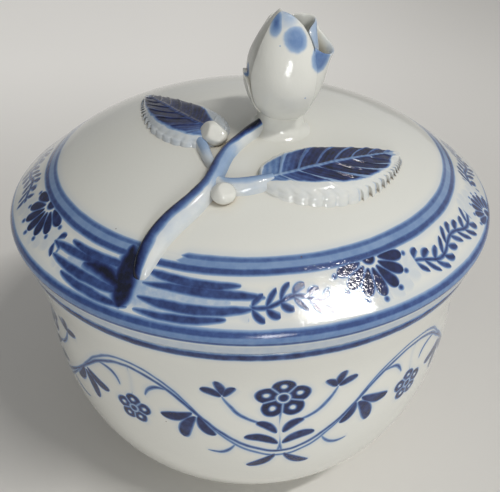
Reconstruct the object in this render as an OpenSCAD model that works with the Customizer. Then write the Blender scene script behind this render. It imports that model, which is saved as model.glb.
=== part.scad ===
// Covered porcelain box for seal paste: a footed bowl, a domed lid with a locating flange,
// and a modelled knob of a rosebud on its stem, with two side buds and two notched, veined leaves.
// The axis of the box is Z, and its foot stands on the plane z = 0. All sizes are in millimetres.

/* [Bowl] */
// Outer radius of the bowl at its lip
lip_r = 48.6; // [42:0.1:56]
// Height of the bowl from the table to the rim that the lid rests on
bowl_h = 58.2; // [52:0.1:70]
// How far the lip stands out past the belly
lip_flare = 2.9; // [1.5:0.1:4]
// Height at which the belly's wall stands upright
belly_z = 42; // [36:0.5:45]
// How full the lower curve of the belly is
belly_fullness = 0.58; // [0.5:0.01:0.7]
// Thickness of the bowl's wall
bowl_wall = 3.2; // [2.6:0.1:4]
// Width of the rim that the lid rests on
rim_w = 4.6; // [4:0.1:6]
// Depth of the upright wall inside the mouth
mouth_depth = 6.2; // [5.6:0.1:9]
// Thickness of the bowl's floor
floor_t = 4; // [3:0.1:6]
// Rounding of the lip's outer edge
lip_round = 0.8; // [0.4:0.1:1.2]

/* [Foot] */
// Outer radius of the foot ring
foot_r = 28.5; // [24:0.1:33]
// Height of the foot ring
foot_h = 2.6; // [1.8:0.1:4]
// Width of the foot ring's standing face
foot_w = 3.6; // [2.5:0.1:5]

/* [Lid] */
// How far the lid's edge stands out past the bowl's lip
lid_overhang = 1.4; // [0.6:0.1:2.5]
// Height of the lid's widest circle above the rim
edge_rise = 3.8; // [3:0.1:5.5]
// Rounding of the lid's edge
edge_round = 2.4; // [1.8:0.1:2.8]
// Slope of the band between the edge and the shoulder, in degrees
band_slope = 37; // [32:0.5:42]
// Width of that band, seen from above
band_w = 10; // [7:0.1:13]
// Rise of the crown above the shoulder
dome_rise = 10.6; // [8:0.1:13]
// Softness of the shoulder between the dome and the band
shoulder_soft = 0.8; // [0.3:0.1:1.4]
// Thickness of the lid's wall
lid_wall = 3.4; // [2.6:0.1:4.2]
// How deep the flange reaches into the mouth
flange_depth = 4.6; // [3.5:0.1:5.2]
// Thickness of the flange
flange_w = 2.6; // [2:0.1:3.4]
// Clearance between the flange and the mouth, on the radius
flange_play = 0.7; // [0.4:0.05:1.2]

/* [Seal paste] */
// Height at which the paste meets the bowl's wall, above the floor
paste_h = 17; // [8:0.5:26]
// Rise of the paste's crown above that height
paste_rise = 4; // [1:0.5:8]

/* [Bud] */
// Height of the bud's base above the lid
base_h = 2.9; // [2.2:0.1:5]
// How far the base stands out past the petals' feet
base_ledge = 0.1; // [0:0.05:0.6]
// Radius of the base at its neck
neck_r = 4.4; // [3.4:0.1:4.8]
// Radius of the base where it spreads on the lid
base_foot_r = 5.8; // [5.5:0.1:7.5]
// Height of the bud above its base
bud_h = 20; // [16:0.5:26]
// Fullness of the bud at its waist, as a radius
bud_r = 9.5; // [8.5:0.1:11]
// Radius that the petals stand on
bud_foot_r = 3.9; // [3.5:0.1:5]
// Radius of the bud's open tip
bud_tip_r = 3; // [2.8:0.1:4.4]
// Lean of the bud to the right, in degrees
bud_lean = 5; // [0:0.5:10]
// Thickness of a petal
petal_t = 0.9; // [0.6:0.05:1]
// Step between two layers of petals
petal_step = 1.1; // [1.05:0.05:1.3]
// Gap between the rolled heart and the petals' feet
heart_gap = 0.15; // [0.1:0.05:0.4]
// Height of the rolled heart
heart_h = 14; // [9:0.5:15]

/* [Stem and side buds] */
// Width of the stem at its widest
stem_w = 4.9; // [3.5:0.1:6]
// Height of the stem at its highest
stem_h = 2.7; // [1.8:0.1:3.6]
// Width of the right twig
right_twig_w = 3.6; // [2.6:0.1:4.4]
// Height of the right twig
right_twig_h = 2.2; // [1.8:0.1:3.2]
// Width of the left twig
left_twig_w = 2.6; // [1.8:0.1:3.2]
// Height of the left twig
left_twig_h = 1.6; // [1.2:0.1:2.2]
// Radius of the side bud in the fork
side_bud_r = 2.2; // [1.6:0.1:2.8]
// Radius of the side bud at the left leaf
leaf_bud_r = 3.3; // [2.2:0.1:3.4]
// Height of a side bud, as a share of its width
side_bud_tall = 0.85; // [0.7:0.01:1.1]
// Film of slip between the lid and what is laid on it
slip_film = 0.02; // [0.02:0.01:0.05]
// Height of the upright edge of a stem or twig
stem_edge = 0.3; // [0.2:0.05:0.5]

/* [Leaves] */
// Half of the right leaf's width
right_leaf_w = 5.5; // [4:0.1:6.5]
// Thickness of the right leaf at its middle
right_leaf_t = 3.7; // [2.4:0.1:4.5]
// Half of the left leaf's width
left_leaf_w = 5.3; // [4:0.1:6]
// Thickness of the left leaf at its middle
left_leaf_t = 2.2; // [1.6:0.1:3.4]
// Depth of the notches round a leaf's edge
notch_d = 0.55; // [0.2:0.05:0.8]
// Notches along each side of a leaf
notches = 16; // [8, 16]
// Side veins on each half of a leaf
veins = 8; // [4, 8]
// Height of the veins above the leaf
vein_h = 0.3; // [0.1:0.05:0.5]
// Rounding of a leaf's upper edge
leaf_round = 0.8; // [0.4:0.1:1]

/* [Hidden] */
$fn = 96;

porcelain = "#e9e7de";
cobalt = "#2b4790";
cinnabar = "#b3261c";

// Curves, which work on numbers and on points alike
function bezier2(a, b, c, t) = a * pow(1 - t, 2) + b * 2 * t * (1 - t) + c * pow(t, 2);
function bezier3(a, b, c, d, t) =
    a * pow(1 - t, 3) + b * 3 * t * pow(1 - t, 2) + c * 3 * pow(t, 2) * (1 - t) + d * pow(t, 3);
function spline(p, t) =
    let (last = len(p) - 1)
    let (i = min(floor(t), last - 1), f = t - min(floor(t), last - 1))
    let (a = p[max(i - 1, 0)], b = p[i], c = p[i + 1], d = p[min(i + 2, last)])
    (2 * b + (c - a) * f + (2 * a - 5 * b + 4 * c - d) * pow(f, 2)
        + (3 * b - a - 3 * c + d) * pow(f, 3)) / 2;
function unit(v) = v / norm(v);
function right_of(d) = [d[1], -d[0]];

// Bowl: the outer wall is one curve from the foot to the belly and one from there to the lip
belly_r = lip_r - lip_flare;
mouth_r = lip_r - rim_w;
mouth_z = bowl_h - mouth_depth;
floor_z = foot_h + floor_t;
wall_steps = 12;
lip_steps = 8;
foot_top = [foot_r, foot_h];
low_pull = [foot_r + belly_fullness * (belly_r - foot_r), foot_h + 3.6];
high_pull = [belly_r + 0.1, belly_z * 0.48];
belly = [belly_r, belly_z];
lip_low_pull = [belly_r, belly_z + 0.4 * (bowl_h - belly_z)];
lip_high_pull = [lip_r - 0.35 * lip_flare, belly_z + 0.7 * (bowl_h - belly_z)];
lip = [lip_r, bowl_h - lip_round];
function wall_at(t) = bezier3(foot_top, low_pull, high_pull, belly, t);
function lip_at(t) = bezier3(belly, lip_low_pull, lip_high_pull, lip, t);
function inward(a, b) = let (d = unit(b - a)) [-d[1], d[0]];
outer_wall = concat(
    [for (i = [0:wall_steps]) wall_at(i / wall_steps)],
    [for (i = [1:lip_steps]) lip_at(i / lip_steps)]
);
inner_wall = [
    for (i = [1:len(outer_wall) - 2])
        let (p = outer_wall[i] + bowl_wall * inward(outer_wall[i - 1], outer_wall[i + 1]))
        if (p[1] > floor_z + 0.5 && p[1] < mouth_z - 0.8) p
];
floor_edge_r = inner_wall[0][0] - 1.5;
inner_by_height = [for (p = concat([[floor_edge_r, floor_z]], inner_wall)) [p[1], p[0]]];

// Lid: height of its outer surface at a distance from the axis
lid_r = lip_r + lid_overhang;
seat_z = bowl_h;
edge_z = seat_z + edge_rise;
edge_centre_r = lid_r - edge_round;
shoulder_r = lid_r - band_w;
band_r = edge_centre_r + edge_round * sin(band_slope);
band_z = edge_z + edge_round * cos(band_slope);
shoulder_z = band_z + (band_r - shoulder_r) * tan(band_slope);
crown_z = shoulder_z + dome_rise;
dome_r = (pow(shoulder_r, 2) + pow(dome_rise, 2)) / (2 * dome_rise);
flange_r = mouth_r - flange_play;
flange_in_r = flange_r - flange_w;
function dome_z(r) = crown_z - dome_r + sqrt(pow(dome_r, 2) - pow(r, 2));
function slope_z(r) = band_z + (band_r - r) * tan(band_slope);
function soft_min(a, b, k) = min(a, b) - pow(max(k - abs(a - b), 0), 2) / (4 * k);
function lid_z(r) = soft_min(dome_z(r), slope_z(r), shoulder_soft);
function on_lid(p, h) = [p[0], p[1], lid_z(norm(p)) + slip_film + h];
function lid_dip(r) = atan((lid_z(r) - lid_z(r + 0.1)) / 0.1);

// Knob: places on the lid are given in hundredths of the lid's radius
lid_share = lid_r / 100;
function placed(p) = p * lid_share;
bud_place = placed([11.6, -19.2]);
stem_route = [for (p = [
    [8, -19.2], [3.2, -23.6], [-2.4, -30], [-8.4, -37.6], [-11.8, -45.2], [-14.8, -52.8],
    [-20, -59.6], [-26.2, -65.2], [-31.4, -71.2], [-35, -77.2], [-37.8, -83.6]
]) placed(p)];
stem_widths = [0.6, 0.6, 0.64, 0.76, 0.86, 0.95, 1, 1, 1, 0.98, 0.72] * stem_w;
stem_heights = [0.9, 0.85, 0.8, 0.85, 0.95, 1, 1, 0.97, 0.92, 0.8, 0.5] * stem_h;
right_twig_route = [
    for (p = [[-13.2, -52.6], [-6.8, -54.4], [0.4, -54.4], [6.8, -53.6]]) placed(p)
];
left_twig_route = [
    for (p = [[-11, -41.2], [-14, -37.2], [-16.8, -32.8], [-19.2, -28.4]]) placed(p)
];
side_bud_place = placed([-9, -57.8]);
leaf_bud_place = placed([-11.8, -24.8]);
right_leaf_line = [for (p = [[2.8, -53.4], [29.2, -53.2], [56.8, -26]]) placed(p)];
left_leaf_line = [for (p = [[-8.8, -30], [-29.2, -24.4], [-46.8, 20.8]]) placed(p)];

// Closed solid between an upper and a lower grid of points, rows by columns
module slab(upper, lower) {
    rows = len(upper);
    cols = len(upper[0]);
    under = rows * cols;
    function quad(a, b, c, d) = [[a, b, c], [a, c, d]];
    polyhedron(
        points = concat([for (row = upper) each row], [for (row = lower) each row]),
        faces = [
            for (i = [0:rows - 2]) for (j = [0:cols - 2])
                let (k = i * cols + j)
                each concat(
                    quad(k, k + cols, k + cols + 1, k + 1),
                    quad(under + k, under + k + 1, under + k + cols + 1, under + k + cols)
                ),
            for (i = [0:rows - 2])
                let (k = i * cols, m = i * cols + cols - 1)
                each concat(
                    quad(k, under + k, under + k + cols, k + cols),
                    quad(m, m + cols, under + m + cols, under + m)
                ),
            for (j = [0:cols - 2])
                let (m = (rows - 1) * cols + j)
                each concat(
                    quad(j, j + 1, under + j + 1, under + j),
                    quad(m, under + m, under + m + 1, m + 1)
                )
        ],
        convexity = 6
    );
}

// Half-round stem laid along a route on the lid
strip_step = 1.5;
module stem(route, widths, heights) {
    cols = 9;
    lengths = [for (i = [1:len(route) - 1]) norm(route[i] - route[i - 1])];
    rows = ceil(lengths * [for (l = lengths) 1] / strip_step) + 1;
    function station(i) = (len(route) - 1) * i / (rows - 1);
    function heading(t) = unit(spline(route, min(t + 0.05, len(route) - 1)) - spline(route, max(t - 0.05, 0)));
    function across(t, a) = spline(route, t) + right_of(heading(t)) * spline(widths, t) / 2 * sin(a);
    function turn(j) = -90 + 180 * j / (cols - 1);
    slab(
        [for (i = [0:rows - 1]) [for (j = [0:cols - 1])
            let (t = station(i), a = turn(j))
            on_lid(across(t, a), stem_edge + (spline(heights, t) - stem_edge) * cos(a))]],
        [for (i = [0:rows - 1]) [for (j = [0:cols - 1]) on_lid(across(station(i), turn(j)), 0)]]
    );
}

// Leaf on the lid: its rows follow the side veins, so that veins and notches fall on them
leaf_rows = 64;
leaf_start = 0.02;
leaf_end = 0.985;
vein_slant = 0.15;
leaf_cols = [-1, -0.93, -0.8, -0.55, -0.3, -0.07, 0, 0.07, 0.3, 0.55, 0.8, 0.93, 1];
module leaf(line, half_w, thick, lean) {
    function row_t(i) = leaf_start + (leaf_end - leaf_start) * i / leaf_rows;
    function along(i, u) = row_t(i) + vein_slant * abs(u) * sin(180 * row_t(i));
    function spine(t) = bezier2(line[0], line[1], line[2], t);
    function heading(t) = unit(spine(t + 0.01) - spine(t - 0.01));
    function half(t, u) = half_w * pow(sin(180 * pow(t, 0.75 + lean * sign(u))), 0.8);
    function notch(i) = notch_d * (1 - abs(sin(180 * notches * i / leaf_rows)));
    function at_edge(u) = max(0, (abs(u) - 0.8) / 0.2);
    function spot(i, u) =
        let (t = along(i, u))
        let (w = half(t, u))
        let (bite = notch(i) * at_edge(u) * min(1, w / notch_d / 4))
        spine(t) + right_of(heading(t)) * u * (w - bite);
    function body(t) = bezier2(0.72, 1.33, 0.5, t) * thick;
    function side_vein(i, u) =
        vein_h * pow(max(cos(360 * veins * i / leaf_rows), 0), 2) * (1 - pow(abs(u), 4));
    function midrib(u) = 1.4 * vein_h * max(0, 1 - abs(u) / 0.07);
    function top_h(i, u) =
        body(along(i, u)) - leaf_round * pow(abs(u), 14) - 0.5 * vein_h * (1 - pow(u, 2))
            + max(side_vein(i, u), midrib(u)) * min(1, half(along(i, u), u) / 1.5);
    slab(
        [for (i = [0:leaf_rows]) [for (u = leaf_cols) on_lid(spot(i, u), top_h(i, u))]],
        [for (i = [0:leaf_rows]) [for (u = leaf_cols) on_lid(spot(i, u), 0)]]
    );
}

// Petal of the bud: it turns round the bud's axis, and the layer says how far out it lies.
// A skew turns its full middle aside from its foot and tip.
petal_rows = 9;
petal_cols = 10;
petal_waist = 0.42;
bud_taper = 0.75;
heart_r = bud_foot_r - petal_step - petal_t - heart_gap;
function bud_radius(h) = bezier3(bud_foot_r, bud_r, bud_taper * bud_r, bud_tip_r, h / bud_h);
module petal(turn, spread, height, layer, curl, tip, slant, skew = 0) {
    function bulge(v) = sqrt(max(0, 1 - pow((v - petal_waist) / (1 - petal_waist), 2)));
    function half(v) = spread * (tip + (1 - tip) * bulge(v));
    function ring(u, v) =
        bud_radius(height * v) + layer * petal_step + curl * pow(v, 5) * pow(cos(90 * u), 2);
    function rim(u, v) = 0.5 + 0.5 * sqrt(max(0, (1 - pow(u, 4)) * (1 - pow(v, 6))));
    function spot(u, v, depth) =
        let (a = turn + skew * bulge(v) + u * half(v), r = ring(u, v) - depth)
        [r * cos(a), r * sin(a), height * v * (1 - (slant * u + 0.06 * pow(u, 2)) * pow(v, 2))];
    slab(
        [for (i = [0:petal_rows]) [for (j = [0:petal_cols])
            spot(2 * j / petal_cols - 1, i / petal_rows, 0)]],
        [for (i = [0:petal_rows]) [for (j = [0:petal_cols])
            let (u = 2 * j / petal_cols - 1, v = i / petal_rows)
            spot(u, v, petal_t * rim(u, v))]]
    );
}

// Puts a piece of the bud on its base, leaning as the bud does
module on_base() {
    translate([bud_place[0], bud_place[1], lid_z(norm(bud_place)) + base_h])
        rotate([0, bud_lean, 0])
            children();
}

// The lid's outer outline, from the axis to the edge's widest circle
dome_steps = 26;
edge_steps = 8;
lid_outline = concat(
    [for (i = [0:dome_steps]) let (r = band_r * i / dome_steps) [r, lid_z(r)]],
    [for (i = [1:edge_steps])
        let (a = 90 - band_slope - (90 - band_slope + 30) * i / edge_steps)
        [edge_centre_r, edge_z] + edge_round * [cos(a), sin(a)]]
);
lid_inside = [
    for (i = [0:dome_steps])
        let (r = band_r * i / dome_steps)
        let (p = [r, lid_z(r)] - lid_wall * [sin(lid_dip(r)), cos(lid_dip(r))])
        if (p[0] >= 0 && p[0] < flange_in_r - 1) p
];

// Everything under the lid's outer surface, for trimming what is laid on it
module under_lid() {
    rotate_extrude()
        polygon(concat([[0, seat_z]], lid_outline, [[lid_r - edge_round, seat_z]]));
}

module bowl() {
    color(porcelain)
        rotate_extrude()
            polygon(concat(
                [[0, foot_h - 0.6], [foot_r - foot_w - 1, foot_h - 0.6], [foot_r - foot_w, 0.5]],
                [[foot_r - foot_w + 0.5, 0], [foot_r - 0.6, 0], [foot_r, 0.6]],
                outer_wall,
                [[lip_r - 0.3 * lip_round, bowl_h - 0.3 * lip_round], [lip_r - lip_round, bowl_h]],
                [[mouth_r + 0.4, bowl_h], [mouth_r, bowl_h - 0.4], [mouth_r, mouth_z]],
                [for (i = [len(inner_wall) - 1:-1:0]) inner_wall[i]],
                [[floor_edge_r, floor_z], [0, floor_z]]
            ));
}

module seal_paste() {
    top_z = floor_z + paste_h;
    edge_r = lookup(top_z, inner_by_height);
    crown_steps = 8;
    color(cinnabar)
        rotate_extrude()
            polygon(concat(
                [[0, floor_z], [floor_edge_r, floor_z]],
                [for (p = inner_wall) if (p[1] < top_z) p],
                [for (i = [crown_steps:-1:0])
                    let (r = edge_r * i / crown_steps)
                    [r, top_z + paste_rise * (1 - pow(r / edge_r, 2))]]
            ));
}

module lid() {
    color(porcelain)
        rotate_extrude()
            polygon(concat(
                lid_outline,
                [[lip_r + 0.5, seat_z + 0.5], [lip_r, seat_z], [flange_r, seat_z]],
                [[flange_r, seat_z - flange_depth + 0.8], [flange_r - 0.8, seat_z - flange_depth]],
                [[flange_in_r + 0.6, seat_z - flange_depth], [flange_in_r, seat_z - flange_depth + 0.6]],
                [[flange_in_r, lid_inside[len(lid_inside) - 1][1] - 1.5]],
                [for (i = [len(lid_inside) - 1:-1:0]) lid_inside[i]]
            ));
}

module bud_base() {
    base_r = bud_foot_r + petal_step + base_ledge;
    waist_h = -0.62 * base_h;
    cup_steps = 5;
    foot_steps = 6;
    color(porcelain)
        difference() {
            on_base()
                rotate_extrude()
                    polygon(concat(
                        [[0, 0]],
                        [for (i = [0:cup_steps])
                            bezier3([base_r, 0], [base_r, 0.3 * waist_h], [neck_r, 0.5 * waist_h],
                                [neck_r, waist_h], i / cup_steps)],
                        [for (i = [1:foot_steps])
                            bezier2([neck_r, waist_h], [neck_r, -base_h],
                                [base_foot_r, -1.15 * base_h], i / foot_steps)],
                        [[base_foot_r, -2 * base_h], [0, -2 * base_h]]
                    ));
            under_lid();
            main_stem();
        }
}

module bud_heart() {
    heart_steps = 8;
    color(porcelain)
        on_base()
            rotate_extrude()
                polygon(concat(
                    [[0, 0]],
                    [for (i = [0:heart_steps])
                        let (t = i / heart_steps)
                        [bezier3(heart_r, 1.6 * heart_r, 1.4 * heart_r, 0, t), heart_h * t]]
                ));
}

module petal_left() {
    color(porcelain) on_base() petal(-136, 48, 0.98 * bud_h, layer = 0, curl = 0.1, tip = 0.35, slant = 0);
}

module petal_front() {
    color(porcelain)
        on_base()
            petal(-80, 41, 0.94 * bud_h, layer = 1, curl = 0, tip = 0.8, slant = 0.13, skew = -12);
}

module petal_right() {
    color(porcelain) on_base() petal(4, 52, 0.63 * bud_h, layer = -0.1, curl = 2, tip = 0.95, slant = 0.2);
}

module petal_back() {
    color(porcelain) on_base() petal(38, 60, 0.87 * bud_h, layer = -1, curl = 1.9, tip = 0.8, slant = -0.05);
}

module petal_rear() {
    color(porcelain) on_base() petal(128, 42, 0.86 * bud_h, layer = 0, curl = 0.3, tip = 0.6, slant = 0);
}

module petal_low() {
    color(porcelain) on_base() petal(184, 28, 0.4 * bud_h, layer = 0.85, curl = 0, tip = 0.25, slant = 0);
}

module main_stem() {
    color(cobalt) stem(stem_route, stem_widths, stem_heights);
}

module right_twig() {
    ends = [0.9, 1, 1, 0.9];
    color(cobalt) stem(right_twig_route, ends * right_twig_w, ends * right_twig_h);
}

module left_twig() {
    ends = [1, 1, 1, 0.9];
    color(porcelain) stem(left_twig_route, ends * left_twig_w, ends * left_twig_h);
}

// Small closed bud, a short egg sunk a little way towards the lid
module egg(place, r) {
    egg_steps = 10;
    tall = side_bud_tall * 2 * r;
    translate([place[0], place[1], lid_z(norm(place)) - 0.2 * tall])
        rotate_extrude()
            polygon([
                for (i = [0:egg_steps])
                    let (a = -90 + 180 * i / egg_steps)
                    [r * cos(a) * (1 - 0.08 * sin(a)), tall * (1 + sin(a)) / 2]
            ]);
}

module side_bud() {
    color(porcelain)
        difference() {
            egg(side_bud_place, side_bud_r);
            under_lid();
            main_stem();
            right_twig();
        }
}

module leaf_bud() {
    color(porcelain)
        difference() {
            egg(leaf_bud_place, leaf_bud_r);
            under_lid();
        }
}

module right_leaf() {
    color(cobalt) leaf(right_leaf_line, right_leaf_w, right_leaf_t, 0.1);
}

module left_leaf() {
    color(cobalt)
        difference() {
            leaf(left_leaf_line, left_leaf_w, left_leaf_t, -0.14);
            egg(leaf_bud_place, leaf_bud_r);
        }
}

bowl();
seal_paste();
lid();
bud_base();
bud_heart();
petal_left();
petal_front();
petal_right();
petal_back();
petal_rear();
petal_low();
main_stem();
right_twig();
left_twig();
side_bud();
leaf_bud();
right_leaf();
left_leaf();
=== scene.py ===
"""Covered porcelain box for seal paste, painted in cobalt blue under a clear glaze.

The bowl and the lid are turned, the red paste lies on the bowl's floor, and the knob is built up on
the lid from a stem, two twigs, two leaves, two small buds and a rosebud of six petals round a heart.
Lengths are in millimetres while a piece is shaped and are brought to metres when it is finished.
"""

import logging
import math
from collections.abc import Callable
from dataclasses import dataclass
from enum import Enum
from functools import partial, partialmethod

import bmesh
import bpy
import numpy as np
from mathutils import Matrix, Quaternion, Vector, noise


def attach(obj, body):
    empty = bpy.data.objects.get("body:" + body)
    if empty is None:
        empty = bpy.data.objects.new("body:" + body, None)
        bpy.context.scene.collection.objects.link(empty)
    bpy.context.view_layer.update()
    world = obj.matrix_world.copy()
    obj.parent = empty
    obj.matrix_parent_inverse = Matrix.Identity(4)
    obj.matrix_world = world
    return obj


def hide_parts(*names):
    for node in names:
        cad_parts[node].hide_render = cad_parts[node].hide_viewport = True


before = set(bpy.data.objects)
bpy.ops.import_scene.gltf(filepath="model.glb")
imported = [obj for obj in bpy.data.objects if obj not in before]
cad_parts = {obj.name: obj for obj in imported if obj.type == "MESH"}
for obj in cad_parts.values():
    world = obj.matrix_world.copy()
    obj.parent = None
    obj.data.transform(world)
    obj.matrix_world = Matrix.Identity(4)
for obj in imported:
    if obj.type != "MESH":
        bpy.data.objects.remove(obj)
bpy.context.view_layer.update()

LOG = logging.getLogger("seal_paste_box")
MM = 0.001
NOWHERE = 9.0  # millimetres outside every stroke, as good as endlessly far

Colour = tuple[int, int, int]
Linear = tuple[float, float, float, float]
Flat = tuple[float, float]
Spot = tuple[float, float, float]
Form = Callable[[np.ndarray, np.ndarray], np.ndarray]  # places across and along a sheet to points


class Body(Enum):
    """The two bodies that pieces ride on."""

    BOWL = "bowl"
    LID = "lid"


class Slot(Enum):
    """The record's material slots."""

    BOWL = "bowl_porcelain"
    LID = "lid_porcelain"
    KNOB = "knob_porcelain"
    STEM = "cobalt_stem"
    LEAF = "cobalt_leaf"
    PASTE = "paste"


def linear(colour: Colour) -> Linear:
    """Brings a display colour to the linear values that shaders take.

    Args:
        colour: Red, green and blue from 0 to 255.

    Returns:
        The linear colour with an alpha of 1.
    """
    shares = [part / 255 for part in colour]
    red, green, blue = (s / 12.92 if s <= 0.04045 else ((s + 0.055) / 1.055) ** 2.4 for s in shares)
    return red, green, blue, 1.0


def add_object(name: str, data: bpy.types.ID) -> bpy.types.Object:
    """Adds an object with its data to the scene.

    Args:
        name: Name of the object.
        data: Its mesh, lamp or camera.

    Returns:
        The object.
    """
    made = bpy.data.objects.new(name, data)
    bpy.context.scene.collection.objects.link(made)
    return made


def bezier(points: list | tuple, t: np.ndarray) -> np.ndarray:
    """Follows a quadratic or cubic curve.

    Args:
        points: Three or four numbers or points that pull the curve.
        t: Places along it, from 0 to 1.

    Returns:
        One value or point for each place.
    """
    pulls = [np.asarray(p, float) for p in points]
    t = np.asarray(t, float)
    if pulls[0].ndim:
        t = t[..., None]
    last = len(pulls) - 1
    return sum(math.comb(last, k) * (1 - t) ** (last - k) * t**k * p for k, p in enumerate(pulls))


def spline(points: np.ndarray, t: np.ndarray) -> np.ndarray:
    """Runs a smooth curve through points or numbers.

    Args:
        points: The values passed, one for each whole t.
        t: Places along the curve.

    Returns:
        The curve's value at each place.
    """
    last = len(points) - 1
    first = np.clip(np.floor(t).astype(int), 0, last - 1)
    f = t - first
    if points.ndim > 1:
        f = f[..., None]
    a, b, c, d = (points[np.clip(first + k, 0, last)] for k in (-1, 0, 1, 2))
    return (2 * b + (c - a) * f + (2 * a - 5 * b + 4 * c - d) * f**2 + (3 * b - a - 3 * c + d) * f**3) / 2


def lumps(points: np.ndarray, size: float, seed: int) -> np.ndarray:
    """Unevenness of hand work, from about -1 to 1, in lumps of a size given in millimetres."""
    shift = Vector((seed * 17.3, seed * 5.1, seed * 9.7))
    return np.array([noise.noise(Vector(p) / size + shift) for p in points])


class Wire:
    """A number in a node tree, which takes the signs of arithmetic."""

    def __init__(self, tree: bpy.types.NodeTree, socket: bpy.types.NodeSocket) -> None:
        """Keeps the tree and the socket that gives the number."""
        self.tree = tree
        self.socket = socket

    def put(self, kind: str, *terms: "Wire | float", clamp: bool = False) -> "Wire":
        """Adds a Math node that starts with this number.

        Args:
            kind: The node's operation.
            terms: The other numbers that it takes.
            clamp: Whether the result is held between 0 and 1.

        Returns:
            The node's result.
        """
        node = self.tree.nodes.new("ShaderNodeMath")
        node.operation = kind
        node.use_clamp = clamp
        for plug, term in zip(node.inputs, (self, *terms)):
            connect(self.tree, term, plug)
        return Wire(self.tree, node.outputs[0])

    __add__ = __radd__ = partialmethod(put, "ADD")
    __sub__ = partialmethod(put, "SUBTRACT")
    __mul__ = __rmul__ = partialmethod(put, "MULTIPLY")
    __truediv__ = partialmethod(put, "DIVIDE")
    __abs__ = partialmethod(put, "ABSOLUTE")
    root = partialmethod(put, "SQRT")
    highest = partialmethod(put, "MAXIMUM")
    lowest = partialmethod(put, "MINIMUM")
    within = partialmethod(put, "ADD", 0.0, clamp=True)

    def __rsub__(self, other: float) -> "Wire":
        """Difference from a plain number."""
        return self.put("MULTIPLY_ADD", -1.0, other)

    def cell(self, width: float) -> "Wire":
        """Distance from the middle of the repeat that the number lies in."""
        return self.put("ADD", width / 2).put("FLOORED_MODULO", width) - width / 2

    def length_with(self, other: "Wire") -> "Wire":
        """Length of the vector that two numbers make."""
        return (self * self + other * other).root()

    def rise(self, low: float, high: float) -> "Wire":
        """Smooth step from 0 at low to 1 at high.

        Args:
            low: Where the step starts.
            high: Where it ends, which may be below low for a fall.

        Returns:
            The step's height.
        """
        node = self.tree.nodes.new("ShaderNodeMapRange")
        node.interpolation_type = "SMOOTHSTEP"
        connect(self.tree, self, node.inputs["Value"])
        node.inputs["From Min"].default_value = min(low, high)
        node.inputs["From Max"].default_value = max(low, high)
        node.inputs["To Min"].default_value = float(low > high)
        node.inputs["To Max"].default_value = float(low <= high)
        return Wire(self.tree, node.outputs["Result"])


def connect(tree: bpy.types.NodeTree, value: Wire | Linear | float, plug: bpy.types.NodeSocket) -> None:
    """Feeds a socket from a wire or sets it to a plain value.

    Args:
        tree: The tree that the socket is in.
        value: The wire or the value.
        plug: The socket.
    """
    if isinstance(value, Wire):
        tree.links.new(value.socket, plug)
    else:
        plug.default_value = value


@dataclass(frozen=True)
class Dab:
    """One touch of a pointed brush: it starts at a point, runs at an angle and swells on its way."""

    x: float
    y: float
    angle: float
    length: float
    width: float
    bow: float = 0.0
    lean: float = 0.0

    def reach(self, x: Wire, y: Wire) -> Wire:
        """How far inside the touch a point lies.

        Args:
            x: The point's place along the drawing, in millimetres.
            y: The point's place across it.

        Returns:
            Millimetres inside its edge, negative outside.
        """
        turn = math.radians(self.angle)
        dx = x - self.x
        dy = y - self.y
        along = (dx * math.cos(turn)).put("ADD", dy * math.sin(turn)) / self.length
        side = dy * math.cos(turn) - dx * math.sin(turn)
        t = along.within()
        over = abs(along - t) * (2 * self.length)
        swell = t * (1.0 - t)
        half = swell.root() * (t * (2 * self.lean) + (1 - self.lean)) * self.width
        return half - abs(side - swell * (4 * self.bow)) - over


class Brush:
    """Gathers strokes on one surface: the ink of the strongest and how near the nearest is."""

    def __init__(self, blank: Wire, soft: float) -> None:
        """Starts with no ink.

        Args:
            blank: Any number of the tree, from which an empty ink is made.
            soft: Half the width of a stroke's soft edge in millimetres.
        """
        self.soft = soft
        self.ink = blank * 0.0
        self.near = self.ink - NOWHERE

    def touch(self, reach: Wire, tone: Wire | float, soft: float | None = None) -> None:
        """Lays one stroke.

        Args:
            reach: How far inside the stroke a point lies, in millimetres.
            tone: Strength of the ink, from 0 to 1.
            soft: Half the width of this stroke's edge, where it differs.
        """
        edge = self.soft if soft is None else soft
        self.ink = self.ink.highest(reach.rise(-edge, edge) * tone)
        self.near = self.near.highest(reach)

    def dabs(
        self, dabs: tuple[Dab, ...], x: Wire, y: Wire, tone: Wire, soft: float | None = None
    ) -> None:
        """Lays touches of a pointed brush, seen from places along and across the drawing."""
        for dab in dabs:
            self.touch(dab.reach(x, y), tone, soft)

    def hold(self, share: Wire) -> None:
        """Keeps only a share of what has been laid so far."""
        self.ink = self.ink * share
        self.near = self.near.highest(-NOWHERE) * share + (share - 1.0) * NOWHERE


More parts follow.
